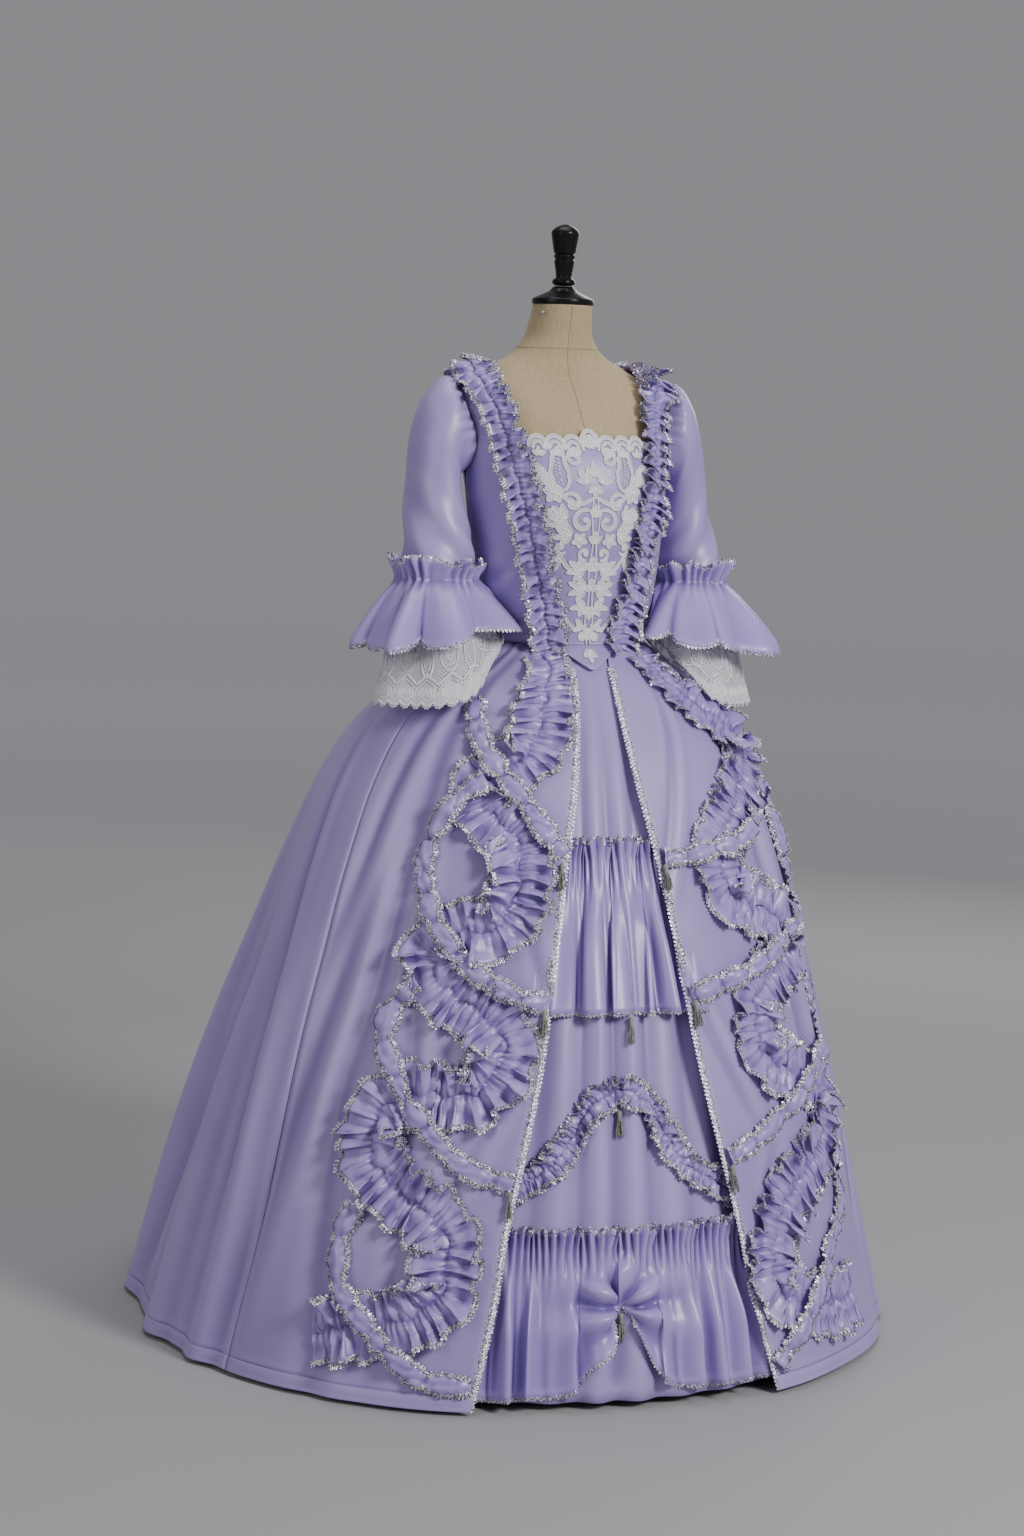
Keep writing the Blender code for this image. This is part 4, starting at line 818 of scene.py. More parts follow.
def make_silver():
    made = Shader("silver_braid", (0.70, 0.70, 0.75), 0.34, 0.45)
    twist = made.texture("Noise", "Object", 420.0, Detail=2.0)
    made.vary("Base Color", twist, (0.13, 0.11, 0.19), (0.86, 0.84, 0.90), (0.42, 0.60))
    made.bump(twist, 0.5, 0.0008)
    return made.material


def make_lace(name, low, high):
    """Cotton lace: its fine threads run in waves of two tones."""
    made = Shader(name, high, 0.62)
    made.set("Sheen Weight", 0.4)
    twist = made.texture("Wave", "Object", 420.0, Distortion=6.0)
    made.vary("Base Color", twist, low, high)
    made.bump(twist, 0.4, 0.0006)
    return made.material


def make_net():
    """The net ground of the cuff lace: two sets of slanting threads with gaps between."""
    made = Shader("white_net", (0.84, 0.84, 0.88), 0.7)
    most = made.nodes.new("ShaderNodeMath")
    most.operation = "MAXIMUM"
    for k, turn in enumerate((pi / 4, -pi / 4)):
        made.links.new(made.texture("Wave", "UV", 110.0, turn=turn, Distortion=1.0), most.inputs[k])
    threads = most.outputs[0]
    made.vary("Alpha", threads, 0.12, 0.95, (0.66, 0.86))
    made.vary("Base Color", threads, (0.70, 0.70, 0.78), (0.88, 0.88, 0.91))
    made.bump(threads, 0.4, 0.0005)
    return made.material


def make_linen():
    made = Shader("linen", (0.46, 0.38, 0.25), 0.85)
    made.set("Sheen Weight", 0.15)
    slub = made.texture("Noise", "Object", 260.0, (1.0, 1.0, 0.12), Detail=4.0)
    made.vary("Base Color", slub, (0.365, 0.280, 0.155), (0.440, 0.340, 0.200))
    weave = made.texture("Wave", "Object", 260.0, Distortion=1.5, bands_direction="Z")
    made.bump(weave, 0.25, 0.0004)
    return made.material


def make_plain(name, colour, roughness, metallic, scale, depth, coat=0.0, specular=0.5):
    """A material whose colour and roughness vary a little, with a fine grain."""
    made = Shader(name, colour, roughness, metallic)
    made.set("Coat Weight", coat)
    made.set("Specular IOR Level", specular)
    grain = made.texture("Noise", "Object", scale, Detail=5.0)
    made.vary("Base Color", grain, tuple(0.8 * value for value in colour), colour)
    made.vary("Roughness", grain, 0.85 * roughness, roughness)
    made.bump(grain, 0.3, depth)
    return made.material


def make_floor_with_painted_light():
    """Pale floor with painted light: it grows lighter away from the gown, standing in for the light that
    the lamps lose with distance, so that it meets the backdrop softly.
    """
    made = Shader("floor", (0.5, 0.5, 0.51), 0.9)
    place = made.nodes.new("ShaderNodeTexCoord")
    length = made.nodes.new("ShaderNodeVectorMath")
    length.operation = "LENGTH"
    made.links.new(place.outputs["Object"], length.inputs[0])
    span = made.nodes.new("ShaderNodeMapRange")
    span.inputs["From Max"].default_value = FLOOR_RADIUS
    made.links.new(length.outputs["Value"], span.inputs["Value"])
    ramp = made.nodes.new("ShaderNodeValToRGB")
    stops = ramp.color_ramp.elements
    # Painted light: the ramp lightens the floor with distance, where the lamps' light falls away.
    for radius, tone in FLOOR_PAINTED_LIGHT:
        stops.new(radius / FLOOR_RADIUS).color = (tone, tone, tone * 1.02, 1.0)
    stops.remove(stops[0])
    stops.remove(stops[len(stops) - 1])
    made.links.new(span.outputs["Result"], ramp.inputs["Fac"])
    made.links.new(ramp.outputs["Color"], made.sockets["Base Color"])
    return made.material


satin = make_satin("lilac_satin", (0.345, 0.262, 0.560), (0.402, 0.310, 0.620), gloss=0.55, roughness=0.38)
# The gathered pieces get a glossier copy of the satin whose colour is a little darker and more violet:
# painted shade for their folds.
gathered_satin_painted_shade = make_satin("lilac_satin_gathered_painted_shade", (0.330, 0.240, 0.575), (0.392, 0.296, 0.640),
                            gloss=0.62, roughness=0.36)
silver = make_silver()
white = make_lace("white_lace", (0.84, 0.84, 0.87), (0.97, 0.97, 0.98))
# Painted shade: the stomacher's lace fills and the cuff lace's hem band are a darker grey-lilac than the
# white cords, for the shade between the raised cords.
clothwork_painted_shade = make_lace("lace_clothwork", (0.56, 0.54, 0.64), (0.80, 0.79, 0.84))
net_white = make_net()
linen = make_linen()
black = make_plain("black_wood", (0.008, 0.008, 0.009), 0.30, 0.0, 30.0, 0.0002, coat=0.05, specular=0.12)
iron = make_plain("black_iron", (0.035, 0.035, 0.037), 0.5, 0.7, 60.0, 0.0004)
cord = make_plain("tassel_cord", (0.27, 0.275, 0.235), 0.75, 0.0, 700.0, 0.0008)
steel = make_plain("steel", (0.5, 0.5, 0.52), 0.35, 0.9, 200.0, 0.0002)


def build_form():
    levels = np.concatenate([np.linspace(0.86, 1.44, 40), np.linspace(1.446, NECK_TOP, 44)])
    angles = np.linspace(-180, 180, 97)[:-1]
    rows = [dress_form(angles, np.full(96, level)) for level in levels]
    rows = [rows[0] * [0.02, 0.02, 1], rows[0] * [0.9, 0.9, 1]] + rows
    rows.append(rows[-1] * [0.02, 0.02, 1] + [0, NECK_LEAN, 0])
    body_piece = cloth("form_torso", rows, linen, 0.0, around=True)
    dress(body_piece, "linen", "dress_form")
    seams = Strip()
    for angle in (0.0, 180.0):
        height = np.linspace(1.38, NECK_TOP - 0.002, 90)
        cord_on(seams, dress_form, np.full(90, angle), height, 0.0009)
    ring = np.linspace(-180, 180, 160)
    cord_on(seams, dress_form, ring, np.full(160, NECK_SEAM), 0.0009)
    dress(seams.make("form_seams", linen, True), "linen")
    for name, profile, node in (("neck_cap", CAP_PROFILE, "form_neck_cap"),
                                ("finial", FINIAL_FINE, "form_finial")):
        dress(lathe(name, profile, black), "black_wood", node)
    nail = Strip()
    for radius, reach in ((0.0011, 0.009), (0.0026, 0.010)):
        nail.add_grid(disc_rings(dress_form, Turn(-52.0, 1.566), radius, reach), around=True)
    dress(nail.make("neck_nail", steel, True), "black_iron")
    for node in ("form_pole", "form_base"):
        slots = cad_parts[node].data.materials
        slots.clear()
        slots.append(iron)


def disc_rings(surface, place, radius, reach):
    """A short round stud standing out of a surface."""
    turn, rise, normal = directions(surface, place.angle, place.height)
    u, v = unit(turn), unit(rise)
    at = surface(place.angle, place.height)
    phase = np.linspace(0, tau, 16, endpoint=False)[:, None]
    rings = []
    for size, out in ((1.0, -0.001), (1.0, reach), (0.7, reach + 0.0006), (0.02, reach + 0.0007)):
        rings.append(at + normal * out + radius * size * (u * np.cos(phase) + v * np.sin(phase)))
    return np.array(rings)


def lathe(name, profile, material):
    """A turned piece with softened corners."""
    rows = []
    for one, two in zip(profile[:-1], profile[1:]):
        for share in (0.03, 0.5, 0.97):
            rows.append((one.radius + (two.radius - one.radius) * share,
                         one.height + (two.height - one.height) * share))
    rows = rows[::-1]
    phase = np.linspace(0, tau, 64, endpoint=False)
    rings = [np.stack([radius * np.sin(phase), NECK_LEAN - radius * np.cos(phase), np.full(64, height)], 1)
             for radius, height in rows]
    return cloth(name, rings, material, 0.0, around=True)


def cord_on(strip, surface, angle, height, radius):
    """A cord lying along a line on a surface."""
    raised(strip, surface(angle, height), directions(surface, angle, height)[2], radius)


def raised(strip, path, normal, radius, rise=1.0):
    """A cord of three sides along a path: flat beneath and ridged above."""
    radius = np.broadcast_to(radius, len(path))[:, None]
    side = unit(np.cross(normal, np.gradient(path, axis=0))) * radius
    strip.add_grid(np.stack([path - side, path + normal * radius * rise, path + side], 1), around=True)
    for end, order in ((0, (0, 1, 2)), (len(path) - 1, (2, 1, 0))):
        strip.faces.append([strip.count - 3 * len(path) + 3 * end + k for k in order])


def build_overskirt():
    hem = [OVERSKIRT_HEM, 0.008, 0.014, 0.022, 0.0255, 0.027, 0.0285, 0.032]
    levels = np.array(hem + list(np.linspace(0.045, WAIST - SEAM, 90)))
    stitches = Strip()
    plan = (("front_right", -SIDE_SEAM, lambda z: -front_edge(z), 54),
            ("front_left", front_edge, SIDE_SEAM, 54),
            ("back_right", -180 + SEAM_ANGLE, -SIDE_SEAM - SEAM_ANGLE, 100),
            ("back_left", SIDE_SEAM + SEAM_ANGLE, 180 - SEAM_ANGLE, 100))
    for name, near, far, columns in plan:
        rows = []
        for level in levels:
            ends = [edge(level) if callable(edge) else edge for edge in (near, far)]
            groove = -0.0011 * hump((level - HEM_BAND) / 0.0012)
            turned = 0.0009 * (level < HEM_BAND - 0.001)
            out = np.full(columns, groove + turned)
            rows.append(lifted(skirt, np.linspace(*ends, columns), np.full(columns, level), out))
        piece = dress(cloth(f"overskirt_{name}_cloth", rows, satin), "lilac_satin", f"overskirt_{name}")
        width = float(np.linalg.norm(np.diff(rows[0], axis=0), axis=1).sum())
        ends = [edge(0.024) if callable(edge) else edge for edge in (near, far)]
        count = int(width / STITCH_STEP)
        mark = np.linspace(*ends, 2 * count)
        spot = lifted(skirt, mark, np.full(2 * count, STITCH_LEVEL), np.full(2 * count, 0.0009))
        for k in range(1, 2 * count - 2, 2):
            dash(stitches, spot[k], spot[k + 1])
    dress(stitches.make("hem_stitches", satin), "lilac_satin")


def dash(strip, one, two):
    """One stitch: a small raised wedge between two points."""
    up = np.array([0.0, 0.0, 0.0004])
    out = unit(np.array([one[0], one[1], 0.0])) * 0.0005
    strip.add([one - up, one + up, two - up, two + up, (one + two) / 2 + out],
              [(0, 4, 1), (1, 4, 3), (3, 4, 2), (2, 4, 0)])


def build_front_braids():
    for side, sign in SIDES:
        height = np.linspace(OVERSKIRT_HEM, 1.035, 400)
        edge = np.array([front_edge(level) for level in height])
        degree = np.linalg.norm(directions(skirt, sign * edge, height)[0], axis=1)
        lift = np.full(400, 0.0006)
        outer = lifted(skirt, sign * (edge + 0.0006 / degree), height, lift)
        inner = lifted(skirt, sign * (edge + 0.0026 / degree), height, lift)
        strip = Strip()
        braid(strip, outer, inner, -sign, width=0.0105, over=0.0008)
        dress(strip.make(f"front_braid_{side}_trim", silver), "silver_braid", f"front_braid_{side}")


def build_petticoat():
    front = np.linspace(-34, 34, 110)
    back = np.linspace(34, 326, 40)[1:-1]
    angles = np.concatenate([front, back])
    levels = np.linspace(PETTICOAT_HEM, WAIST - SEAM, 60)
    rows = [petticoat(angles, np.full(len(angles), level)) for level in levels]
    piece = cloth("petticoat_cloth", rows, satin, around=True)
    dress(piece, "lilac_satin", "petticoat")


def build_upper_flounce():
    columns = 240
    x = np.linspace(-1, 1, columns)
    table = [(row.height, row.half_angle, row.wave) for row in UPPER_FLOUNCE]
    levels = np.concatenate([np.linspace(0.556, 0.764, 25), np.linspace(0.770, 0.797, 7)])
    net = []
    for level in levels:
        half, size = blend(table, level)
        down = np.clip((UPPER_HEADER - level) / 0.216, 0, 1)
        up = np.clip((level - UPPER_HEADER) / 0.025, 0, 1)
        turn = tau * 3.5 * x + 1.7 * wobble(x * 0.25, 5)
        folds = (0.5 + 0.5 * np.cos(turn)) ** 1.3 + 0.16 * np.sin(2 * turn + 1.0)
        fine = swell(tau * 14 * x + 2.6 * wobble(x * 0.3, 9))
        wave = size * 1.7 * folds * ease(down * 1.6) + 0.005 * fine * hump(down / 0.18)
        wave = wave + 0.0020 * swell(tau * 7 * x + 3.0 * down) * down
        wave = np.maximum(wave, 0.0)
        wave = wave + 0.010 * up * fine
        height = level + 0.004 * up * np.sin(tau * 9 * x + 2 * wobble(x * 0.3, 8)) - 0.005 * folds * down
        angles = half * x + 0.30 * np.sin(turn + 0.6) * down
        net.append(lifted(petticoat, angles, np.broadcast_to(height, x.shape), 0.0024 + wave))
    finish_flounce("upper_flounce", "petticoat_upper_flounce", np.array(net))


def build_bottom_flounce():
    columns = 300
    angles = np.linspace(-27, 27, columns)
    hem = blend(SWAG, angles)[:, 0]
    x = angles / 27
    net = []
    for share in np.concatenate([np.linspace(0, 0.97, 25), np.linspace(1.0, 1.13, 7)]):
        down = np.clip(1 - share, 0, 1)
        up = np.clip((share - 1.0) / 0.13, 0, 1)
        height = hem + (BOTTOM_HEADER - hem) * min(share, 1.0) + 0.026 * up
        across, above = (angles - DRAWN_UP.angle) * 0.0088, height - DRAWN_UP.height
        reach, ray = np.hypot(across, above), np.arctan2(across, above)
        drawn = hump(reach / 0.095) * ease(down * 2.5)
        turn = tau * 5.5 * x + 1.6 * wobble(x * 0.25, 21)
        folds = (0.5 + 0.5 * np.cos(turn)) ** 1.2 + 0.14 * np.sin(2 * turn + 1.0)
        rays = (0.5 + 0.5 * np.cos(6.5 * ray)) * ease(reach / 0.035)
        fine = swell(tau * 22 * x + 2.4 * wobble(x * 0.3, 23))
        wave = 0.024 * folds * (1 - drawn) * ease(down * 1.6) + 0.022 * rays * drawn
        wave = wave + 0.006 * fine * hump(down / 0.16) + 0.010 * up * fine
        swing = 0.25 * np.sin(turn + 0.7) * down
        height = height + 0.004 * up * np.sin(tau * 13 * x + 1.5 * wobble(x * 0.3, 29))
        net.append(lifted(petticoat, angles + swing, height, 0.0020 + np.maximum(wave, 0.0)))
    finish_flounce("bottom_flounce", "petticoat_bottom_flounce", np.array(net))


def finish_flounce(name, node, net):
    """A flounce's cloth, with braid on its hem and on its header."""
    piece = dress(cloth(name, net, gathered_satin_painted_shade, FLOUNCE_WALL), "lilac_satin", node)
    trim = bind(name, (net[0], net[1], 1), (net[-1], net[-2], -1, HEADER_BRAID))


def build_wide_ruffles():
    for side, _, rows, ribbons in TRIMS:
        crossing = np.concatenate([Route(skirt, ribbon, 60).points for ribbon in ribbons])

        def spread(route):
            return 0.55 + 0.45 * ease(route.along / 0.14)

        def calm(route):
            reach = nearest(route.points, crossing)
            pressed = 0.35 + 0.65 * ease((reach - 0.010) / 0.030)
            return pressed * (0.55 + 0.45 * ease(route.along / 0.20))

        rise, seed = (0.020, 31) if side == "right" else (0.016, 47)
        net = gathered(skirt, rows, half=0.048, pitch=0.0235, rise=rise, seat=0.0022, seed=seed,
                       spread=spread, calm=calm)
        ruffle_piece(f"ruffle_{side}", f"wide_ruffle_{side}", net)


def build_ribbons():
    for side, sign, ruffle, ribbons in TRIMS:
        middle = Route(skirt, ruffle, 240).points
        for number, rows in enumerate(ribbons, 1):
            end = RIBBON_ENDS[side][number - 1]
            rows = list(rows)[:-1] + [Turn(sign * (front_edge(end) + 0.9), end)]
            length = Route(skirt, rows, 100).along[-1]
            route = Route(skirt, rows, int(length / 0.0034))
            near = 1 - ease((nearest(route.points, middle) - 0.052) / 0.022)
            s = route.along
            puff = np.abs(np.sin(pi * s / 0.052 + 1.3 * wobble(s, number))) ** 0.7
            tuck = swell(tau * s / 0.017 + 2.2 * wobble(s, number + 9))
            twist = wobble(2.2 * s, number + 15)
            half = 0.0078 + 0.0072 * puff + 0.0018 * twist
            columns = []
            for t in np.linspace(-1, 1, 9):
                angle, height = route.place(t * half)
                dome = (1 - t * t) ** 0.8
                lift = 0.0020 + 0.012 * near + 0.008 * puff * dome + 0.0040 * tuck * (1 - puff * dome)
                lift = lift + 0.0045 * np.maximum(t * twist, 0.0)
                lift = lift + 0.0024 * puff * swell(5.5 * t + 3.0 * twist + 90 * s)
                columns.append(lifted(skirt, angle, height, lift))
            name = f"ribbon_{side}_{number}"
            ruffle_piece(name + "_strip", name, np.stack(columns, 1))


def build_garland():
    net = gathered(petticoat, GARLAND, half=0.021, pitch=0.0165, rise=0.0135, seat=0.0022, seed=61,
                   columns=11)
    ruffle_piece("garland", "petticoat_garland", net)


def bodice_grid(rows, sign, columns, count):
    shares = np.linspace(0, 1, count)
    table = blend(rows, shares)
    near_angle, near_height, far_angle, far_height = np.moveaxis(table[:, None], -1, 0)
    across = np.linspace(0, 1, columns)
    angle = near_angle + (far_angle - near_angle) * across
    height = near_height + (far_height - near_height) * across
    a = np.radians(angle)
    soft = 0.0012 * np.sin(9 * a + 30 * height) * ease((height - 1.08) / 0.05)
    points = lifted(body, sign * angle, height, soft * ease((1.40 - height) / 0.08))
    rises = (rows[0].far_angle > rows[0].near_angle) == (sign > 0)
    return points if rises else points[:, ::-1]


def build_bodice():
    for side, sign in SIDES:
        for part, rows, flat in (("front", BODICE_FRONT, (0.30, 0.44)),
                                 ("back", BODICE_BACK, (0.34, 0.44))):
            net = bodice_grid(rows, sign, columns=30, count=50)
            name = f"bodice_{part}_{side}"
            piece = dress(cloth(name + "_cloth", net, satin), "lilac_satin", name)


def stomacher_points(levels, columns):
    rows = []
    for level in levels:
        angles = np.linspace(-1, 1, columns) * stomacher_half(level)
        out = np.full(columns, tip_lift(level))
        rows.append(lifted(gown_front, angles, np.full(columns, level), out))
    return np.array(rows)


def build_stomacher():
    levels = np.concatenate([np.linspace(1.030, 1.10, 20), np.linspace(1.106, 1.376, 30)])
    net = stomacher_points(levels, 26)
    piece = dress(cloth("stomacher_cloth", net, satin), "lilac_satin", "stomacher")
    lace = Lace()
    embroider(lace)
    applique = dress(lace.make("stomacher_applique", white, True), "white_lace", "stomacher_lace")
    ground = dress(lace.ground.make("stomacher_applique_ground", clothwork_painted_shade, True), "white_lace")


DEGREE_AT = np.linspace(1.02, 1.40, 60)
DEGREE = np.linalg.norm(directions(gown_front, np.full(60, 14.0), DEGREE_AT)[0], axis=1)
HALF_AT = [stomacher_half(level) - 0.6 for level in np.clip(DEGREE_AT, 1.031, 1.39)]


def on_stomacher(flat, lift=0.0):
    """Points and normals on the stomacher for points given in metres across and in height."""
    flat = np.asarray(flat, float)
    height = flat[:, 1]
    angle = flat[:, 0] / np.interp(height, DEGREE_AT, DEGREE)
    limit = np.interp(height, DEGREE_AT, HALF_AT)
    angle = np.clip(angle, -limit, limit)
    out = lift + tip_lift(height)
    return lifted(gown_front, angle, height, out), directions(gown_front, angle, height)[2]


def spiral(x, y, radius, start, turns, hand, count=20):
    t = np.linspace(0, 1, count)
    angle = start + hand * turns * tau * t
    size = radius * (1 - 0.82 * t)
    return np.stack([x + size * np.cos(angle), y + size * np.sin(angle)], 1)


def leaf_line(x, y, length, width, angle, bend=0.0, count=14):
    """Outline of a lobed leaf from its stalk, closed, and its middle line."""
    t = np.linspace(0, 1, count)
    heading = angle + bend * t
    steps = np.stack([np.cos(heading), np.sin(heading)], 1) * length / (count - 1)
    spine = np.array([x, y]) + np.vstack([np.zeros(2), np.cumsum(steps[:-1], axis=0)])
    across = np.stack([-np.sin(heading), np.cos(heading)], 1)
    lobes = 1 - 0.22 * np.abs(np.sin(2.5 * pi * t)) * (t > 0.25)
    half = (width / 2 * np.sin(pi * t**0.8) ** 0.8 * lobes)[:, None]
    outline = np.vstack([spine + across * half, (spine - across * half)[::-1][1:]])
    return outline, spine


class Lace(Strip):
    """Corded lace on the stomacher: each shape is drawn on one side, and side -1 mirrors it."""

    def __init__(self):
        super().__init__()
        self.side, self.ground = 1, Strip()

    def place(self, flat, lift):
        return on_stomacher(np.asarray(flat) * [self.side, 1.0], lift)

    def line(self, flat, radius):
        points, normal = self.place(flat, 0.0010)
        raised(self, points, normal, radius)

    def domed(self, left, spine, right):
        rows = [self.place(left, 0.0005), self.place(spine, 0.0016), self.place(right, 0.0005)]
        self.ground.add_grid(np.stack([row[0] for row in rows], 1))

    def tape(self, flat, width):
        """A tape along a line, narrower at its ends, with a cord on both edges."""
        ahead = unit(np.gradient(flat, axis=0))
        across = np.stack([-ahead[:, 1], ahead[:, 0]], 1)
        half = width / 2 * (np.sin(pi * np.linspace(0.05, 0.95, len(flat))) ** 0.4)[:, None]
        left, right = flat + across * half, flat - across * half
        self.domed(left, flat, right)
        self.line(left, 0.0011)
        self.line(right, 0.0011)

    def leaf(self, x, y, length, width, angle, bend=0.0):
        outline, spine = leaf_line(x, y, length, width, angle, bend)
        count = len(spine)
        self.domed(outline[:count], spine, np.vstack([outline[count:], outline[:1]])[::-1])
        self.line(outline, 0.0012)
        self.line(spine[1:-2], 0.0009)

    def spray(self, row, width=0.40):
        """Leaves that open from one point."""
        for k in range(row.count):
            share = k / (row.count - 1) - 0.5 if row.count > 1 else 0.0
            reach = row.size * (1 - 0.9 * share * share)
            self.leaf(row.x, row.y, reach, width * row.size, row.angle + row.open_by * share, 0.6 * share)

    def scroll(self, row):
        line = spiral(row.x, row.y, row.radius, row.start, row.turns, row.hand)
        self.tape(line, row.width)
        x, y = line[-1]
        self.leaf(x - 0.003, y, 0.007, 0.007, 0.0)

    def flower(self, x, y, size, turn=0.3):
        for angle in turn + np.linspace(0, tau, 6)[:-1]:
            foot_x, foot_y = x + 0.2 * size * np.cos(angle), y + 0.2 * size * np.sin(angle)
            self.leaf(foot_x, foot_y, size, 0.85 * size, angle)
        self.line(spiral(x, y, 0.3 * size, 0.0, 1.5, 1, 16), 0.0016)


def embroider(lace):
    """Corded scrolls, leaves and flowers from the shell edge at the top down to the tip."""
    arch = np.linspace(-0.15, pi + 0.15, 18)
    for lace.side in (-1, 1):
        for x in (0.027, 0.054, 0.081):
            for size, width in ((1.0, 0.0052), (0.55, 0.0046)):
                across, up = x + SHELL_RADIUS * size * np.cos(arch), 1.362 + 0.018 * size * np.sin(arch)
                line = np.stack([across, up], 1)
                lace.tape(line, width)
            for angle in (0.5, 1.57, 2.64):
                lace.leaf(x, 1.352, 0.012, 0.008, angle)
        drop, middle = leaf_line(0.046, 1.300, 0.066, 0.030, 1.20, 0.7)
        lace.tape(drop, 0.0052)
        for share in np.linspace(0.2, 0.85, 8):
            x, y = middle[int(share * (len(middle) - 1))]
            lace.line(spiral(x, y, 0.0020, 0.0, 0.9, 1, 8), 0.0009)
            lace.line(spiral(x + 0.0045, y - 0.003, 0.0016, 0.0, 0.9, 1, 8), 0.0008)
        for row in SCROLLS:
            lace.scroll(row)
        for row in SPRAYS:
            lace.spray(row)
        lace.flower(0.064, 1.296, 0.0140)
        lace.flower(0.024, 1.226, 0.0100, 0.9)
        t = np.linspace(0, 1, 26)
        for low, high, reach, width in ((1.290, 1.306, 0.060, 0.0056), (1.192, 1.216, 0.056, 0.0052),
                                        (1.098, 1.112, 0.036, 0.0044)):
            sweep = np.stack([0.003 + reach * t, low + (high - low) * (t**2 - 0.8 * np.sin(pi * t))], 1)
            lace.tape(sweep, width)
        stem = np.stack([0.0025 + 0.0035 * np.sin(3 * pi * t) ** 2, 1.064 + 0.236 * t], 1)
        lace.line(stem, 0.0015)
    lace.side = 1
    for row in CENTRE_SPRAYS:
        lace.spray(row, 0.5)
    for size in (1.0, 0.6):
        line = np.stack([0.0135 * size * np.cos(arch), 1.368 + 0.021 * size * np.sin(arch)], 1)
        lace.tape(line, 0.0050)


def build_robings():
    for side, sign in SIDES:
        rows = [Turn(sign * row.angle, row.height) for row in (*ROBING, ROBING_END)]
        net = gathered(robing_base, rows, half=0.0275, pitch=0.0190, rise=0.0195, seat=0.0016,
                       seed=71 + sign, columns=11)
        ruffle_piece(f"robing_{side}_ruche", f"robing_{side}", net)


def robing_base(angle, height):
    return lifted(body, angle, height, tip_lift(np.broadcast_arrays(angle, height)[1]))


def sleeve_grid(sign, columns, rows):
    """A sleeve's outer face, from the cuff up to the armhole."""
    phase = np.linspace(0, tau, columns, endpoint=False)
    rings = [sleeve_ring(sign, ring, phase) for ring in reversed(range(len(SLEEVE)))]
    angle = ARMHOLE_MIDDLE.angle - ARMHOLE_HALF.angle * np.sin(phase)
    height = ARMHOLE_MIDDLE.height + ARMHOLE_HALF.height * np.cos(phase)
    rings.append(lifted(body, sign * angle, height, np.full(columns, SLEEVE_SEAT)))
    rings = np.array(rings)
    marks = np.arange(len(rings), dtype=float)
    at = np.linspace(0, marks[-1], rows)
    table = [(mark, *ring.ravel()) for mark, ring in zip(marks, rings)]
    fine = blend(table, at).reshape(rows, columns, 3)
    middle = fine.mean(axis=1, keepdims=True)
    out = unit(fine - middle)
    share = (at / marks[-1])[:, None]
    gathers = swell(26 * phase + 0.8 * np.sin(5 * phase))
    top = ease((share - 0.80) / 0.12) * ease((np.cos(phase) + 0.35) / 0.5)
    top = top * (1 - ease((share - 0.985) / 0.015))
    bends = np.sin(3 * phase + 26 * share + 1.0) * ease((0.50 - share) / 0.25) * ease((share - 0.02) / 0.1)
    swing = np.sin(2 * phase - 9 * share) * ease((0.9 - share) / 0.3)
    points = fine + out * (0.0040 * top * gathers + 0.0026 * bends + 0.0020 * swing)[..., None]
    return points if sign < 0 else points[:, ::-1]


def frill_at(sign, drops, phase, fall, waves, shorter, body_gap, skirt_gap, extra=0.0):
    """Points of a cuff frill for phases round the cuff and falls below its gathers."""
    spread, wave = np.moveaxis(blend([(row.fall, row.spread, row.wave) for row in drops], fall), -1, 0)
    inner = ((1 - np.cos(phase)) / 2) ** 3
    drop = fall * (1 - shorter * inner)
    out = spread + wave * np.cos(waves * phase) + extra
    points = sleeve_ring(sign, -1, phase, out)
    points[:, 1] -= FRILL_FORWARD * np.maximum(drop, 0.0)
    points[:, 2] -= drop
    points = clear_of_skirt(clear_of_body(points, body_gap), skirt_gap)
    return clear_of_body(points, body_gap)


def build_sleeves():
    for side, sign in SIDES:
        net = sleeve_grid(sign, 90, 60)
        piece = cloth(f"sleeve_{side}_cloth", net, satin, around=True)
        dress(piece, "lilac_satin", f"sleeve_{side}")
        build_cuff_flounce(side, sign)
        build_cuff_lace(side, sign)


def build_cuff_flounce(side, sign):
    phase = np.linspace(0, tau, 240, endpoint=False)
    rows = []
    for fall in np.concatenate([np.linspace(0.096, 0.0, 19), np.linspace(-0.004, -0.028, 7)]):
        down, up = np.clip(fall / 0.096, 0, 1), np.clip(-fall / 0.028, 0, 1)
        fine = swell(24 * phase + 2.4 * np.sin(3 * phase + sign) + 1.3 * np.sin(7 * phase))
        fine = fine * (0.62 + 0.38 * np.sin(5 * phase + 2.0 * sign))
        folds = np.abs(np.sin(4.5 * phase + 1.5 * np.sin(2 * phase + sign) + 0.4)) ** 0.8
        folds = folds * (0.72 + 0.28 * np.sin(3 * phase + 1.3 * sign))
        tucks = swell(17 * phase + 1.6 * np.sin(4 * phase))
        extra = 0.005 * fine * hump(down / 0.2) + 0.011 * up * fine
        extra = extra + 0.034 * folds * down**1.1 + 0.005 * tucks * down * (1 - down)
        longer = 1 + 0.16 * down * np.cos(phase - 0.4 * sign) - 0.15 * down * (1 - folds) ** 1.5
        level = fall * longer - 0.006 * up * np.sin(8 * phase + 2.0 * np.sin(3 * phase))
        rows.append(frill_at(sign, FLOUNCE_DROP, phase, level, 8, *FLOUNCE_FIT, extra))
    net = np.array(rows)
    net = net if sign < 0 else net[:, ::-1]
    piece = cloth(f"cuff_flounce_{side}", net, gathered_satin_painted_shade, FLOUNCE_WALL, around=True)
    dress(piece, "lilac_satin", f"sleeve_flounce_{side}")
    loop = np.concatenate([net, net[:, :1]], 1)
    trim = bind(f"cuff_flounce_{side}", (loop[0], loop[1], 1, CUFF_BRAID),
                (loop[-1], loop[-2], -1, HEADER_BRAID))


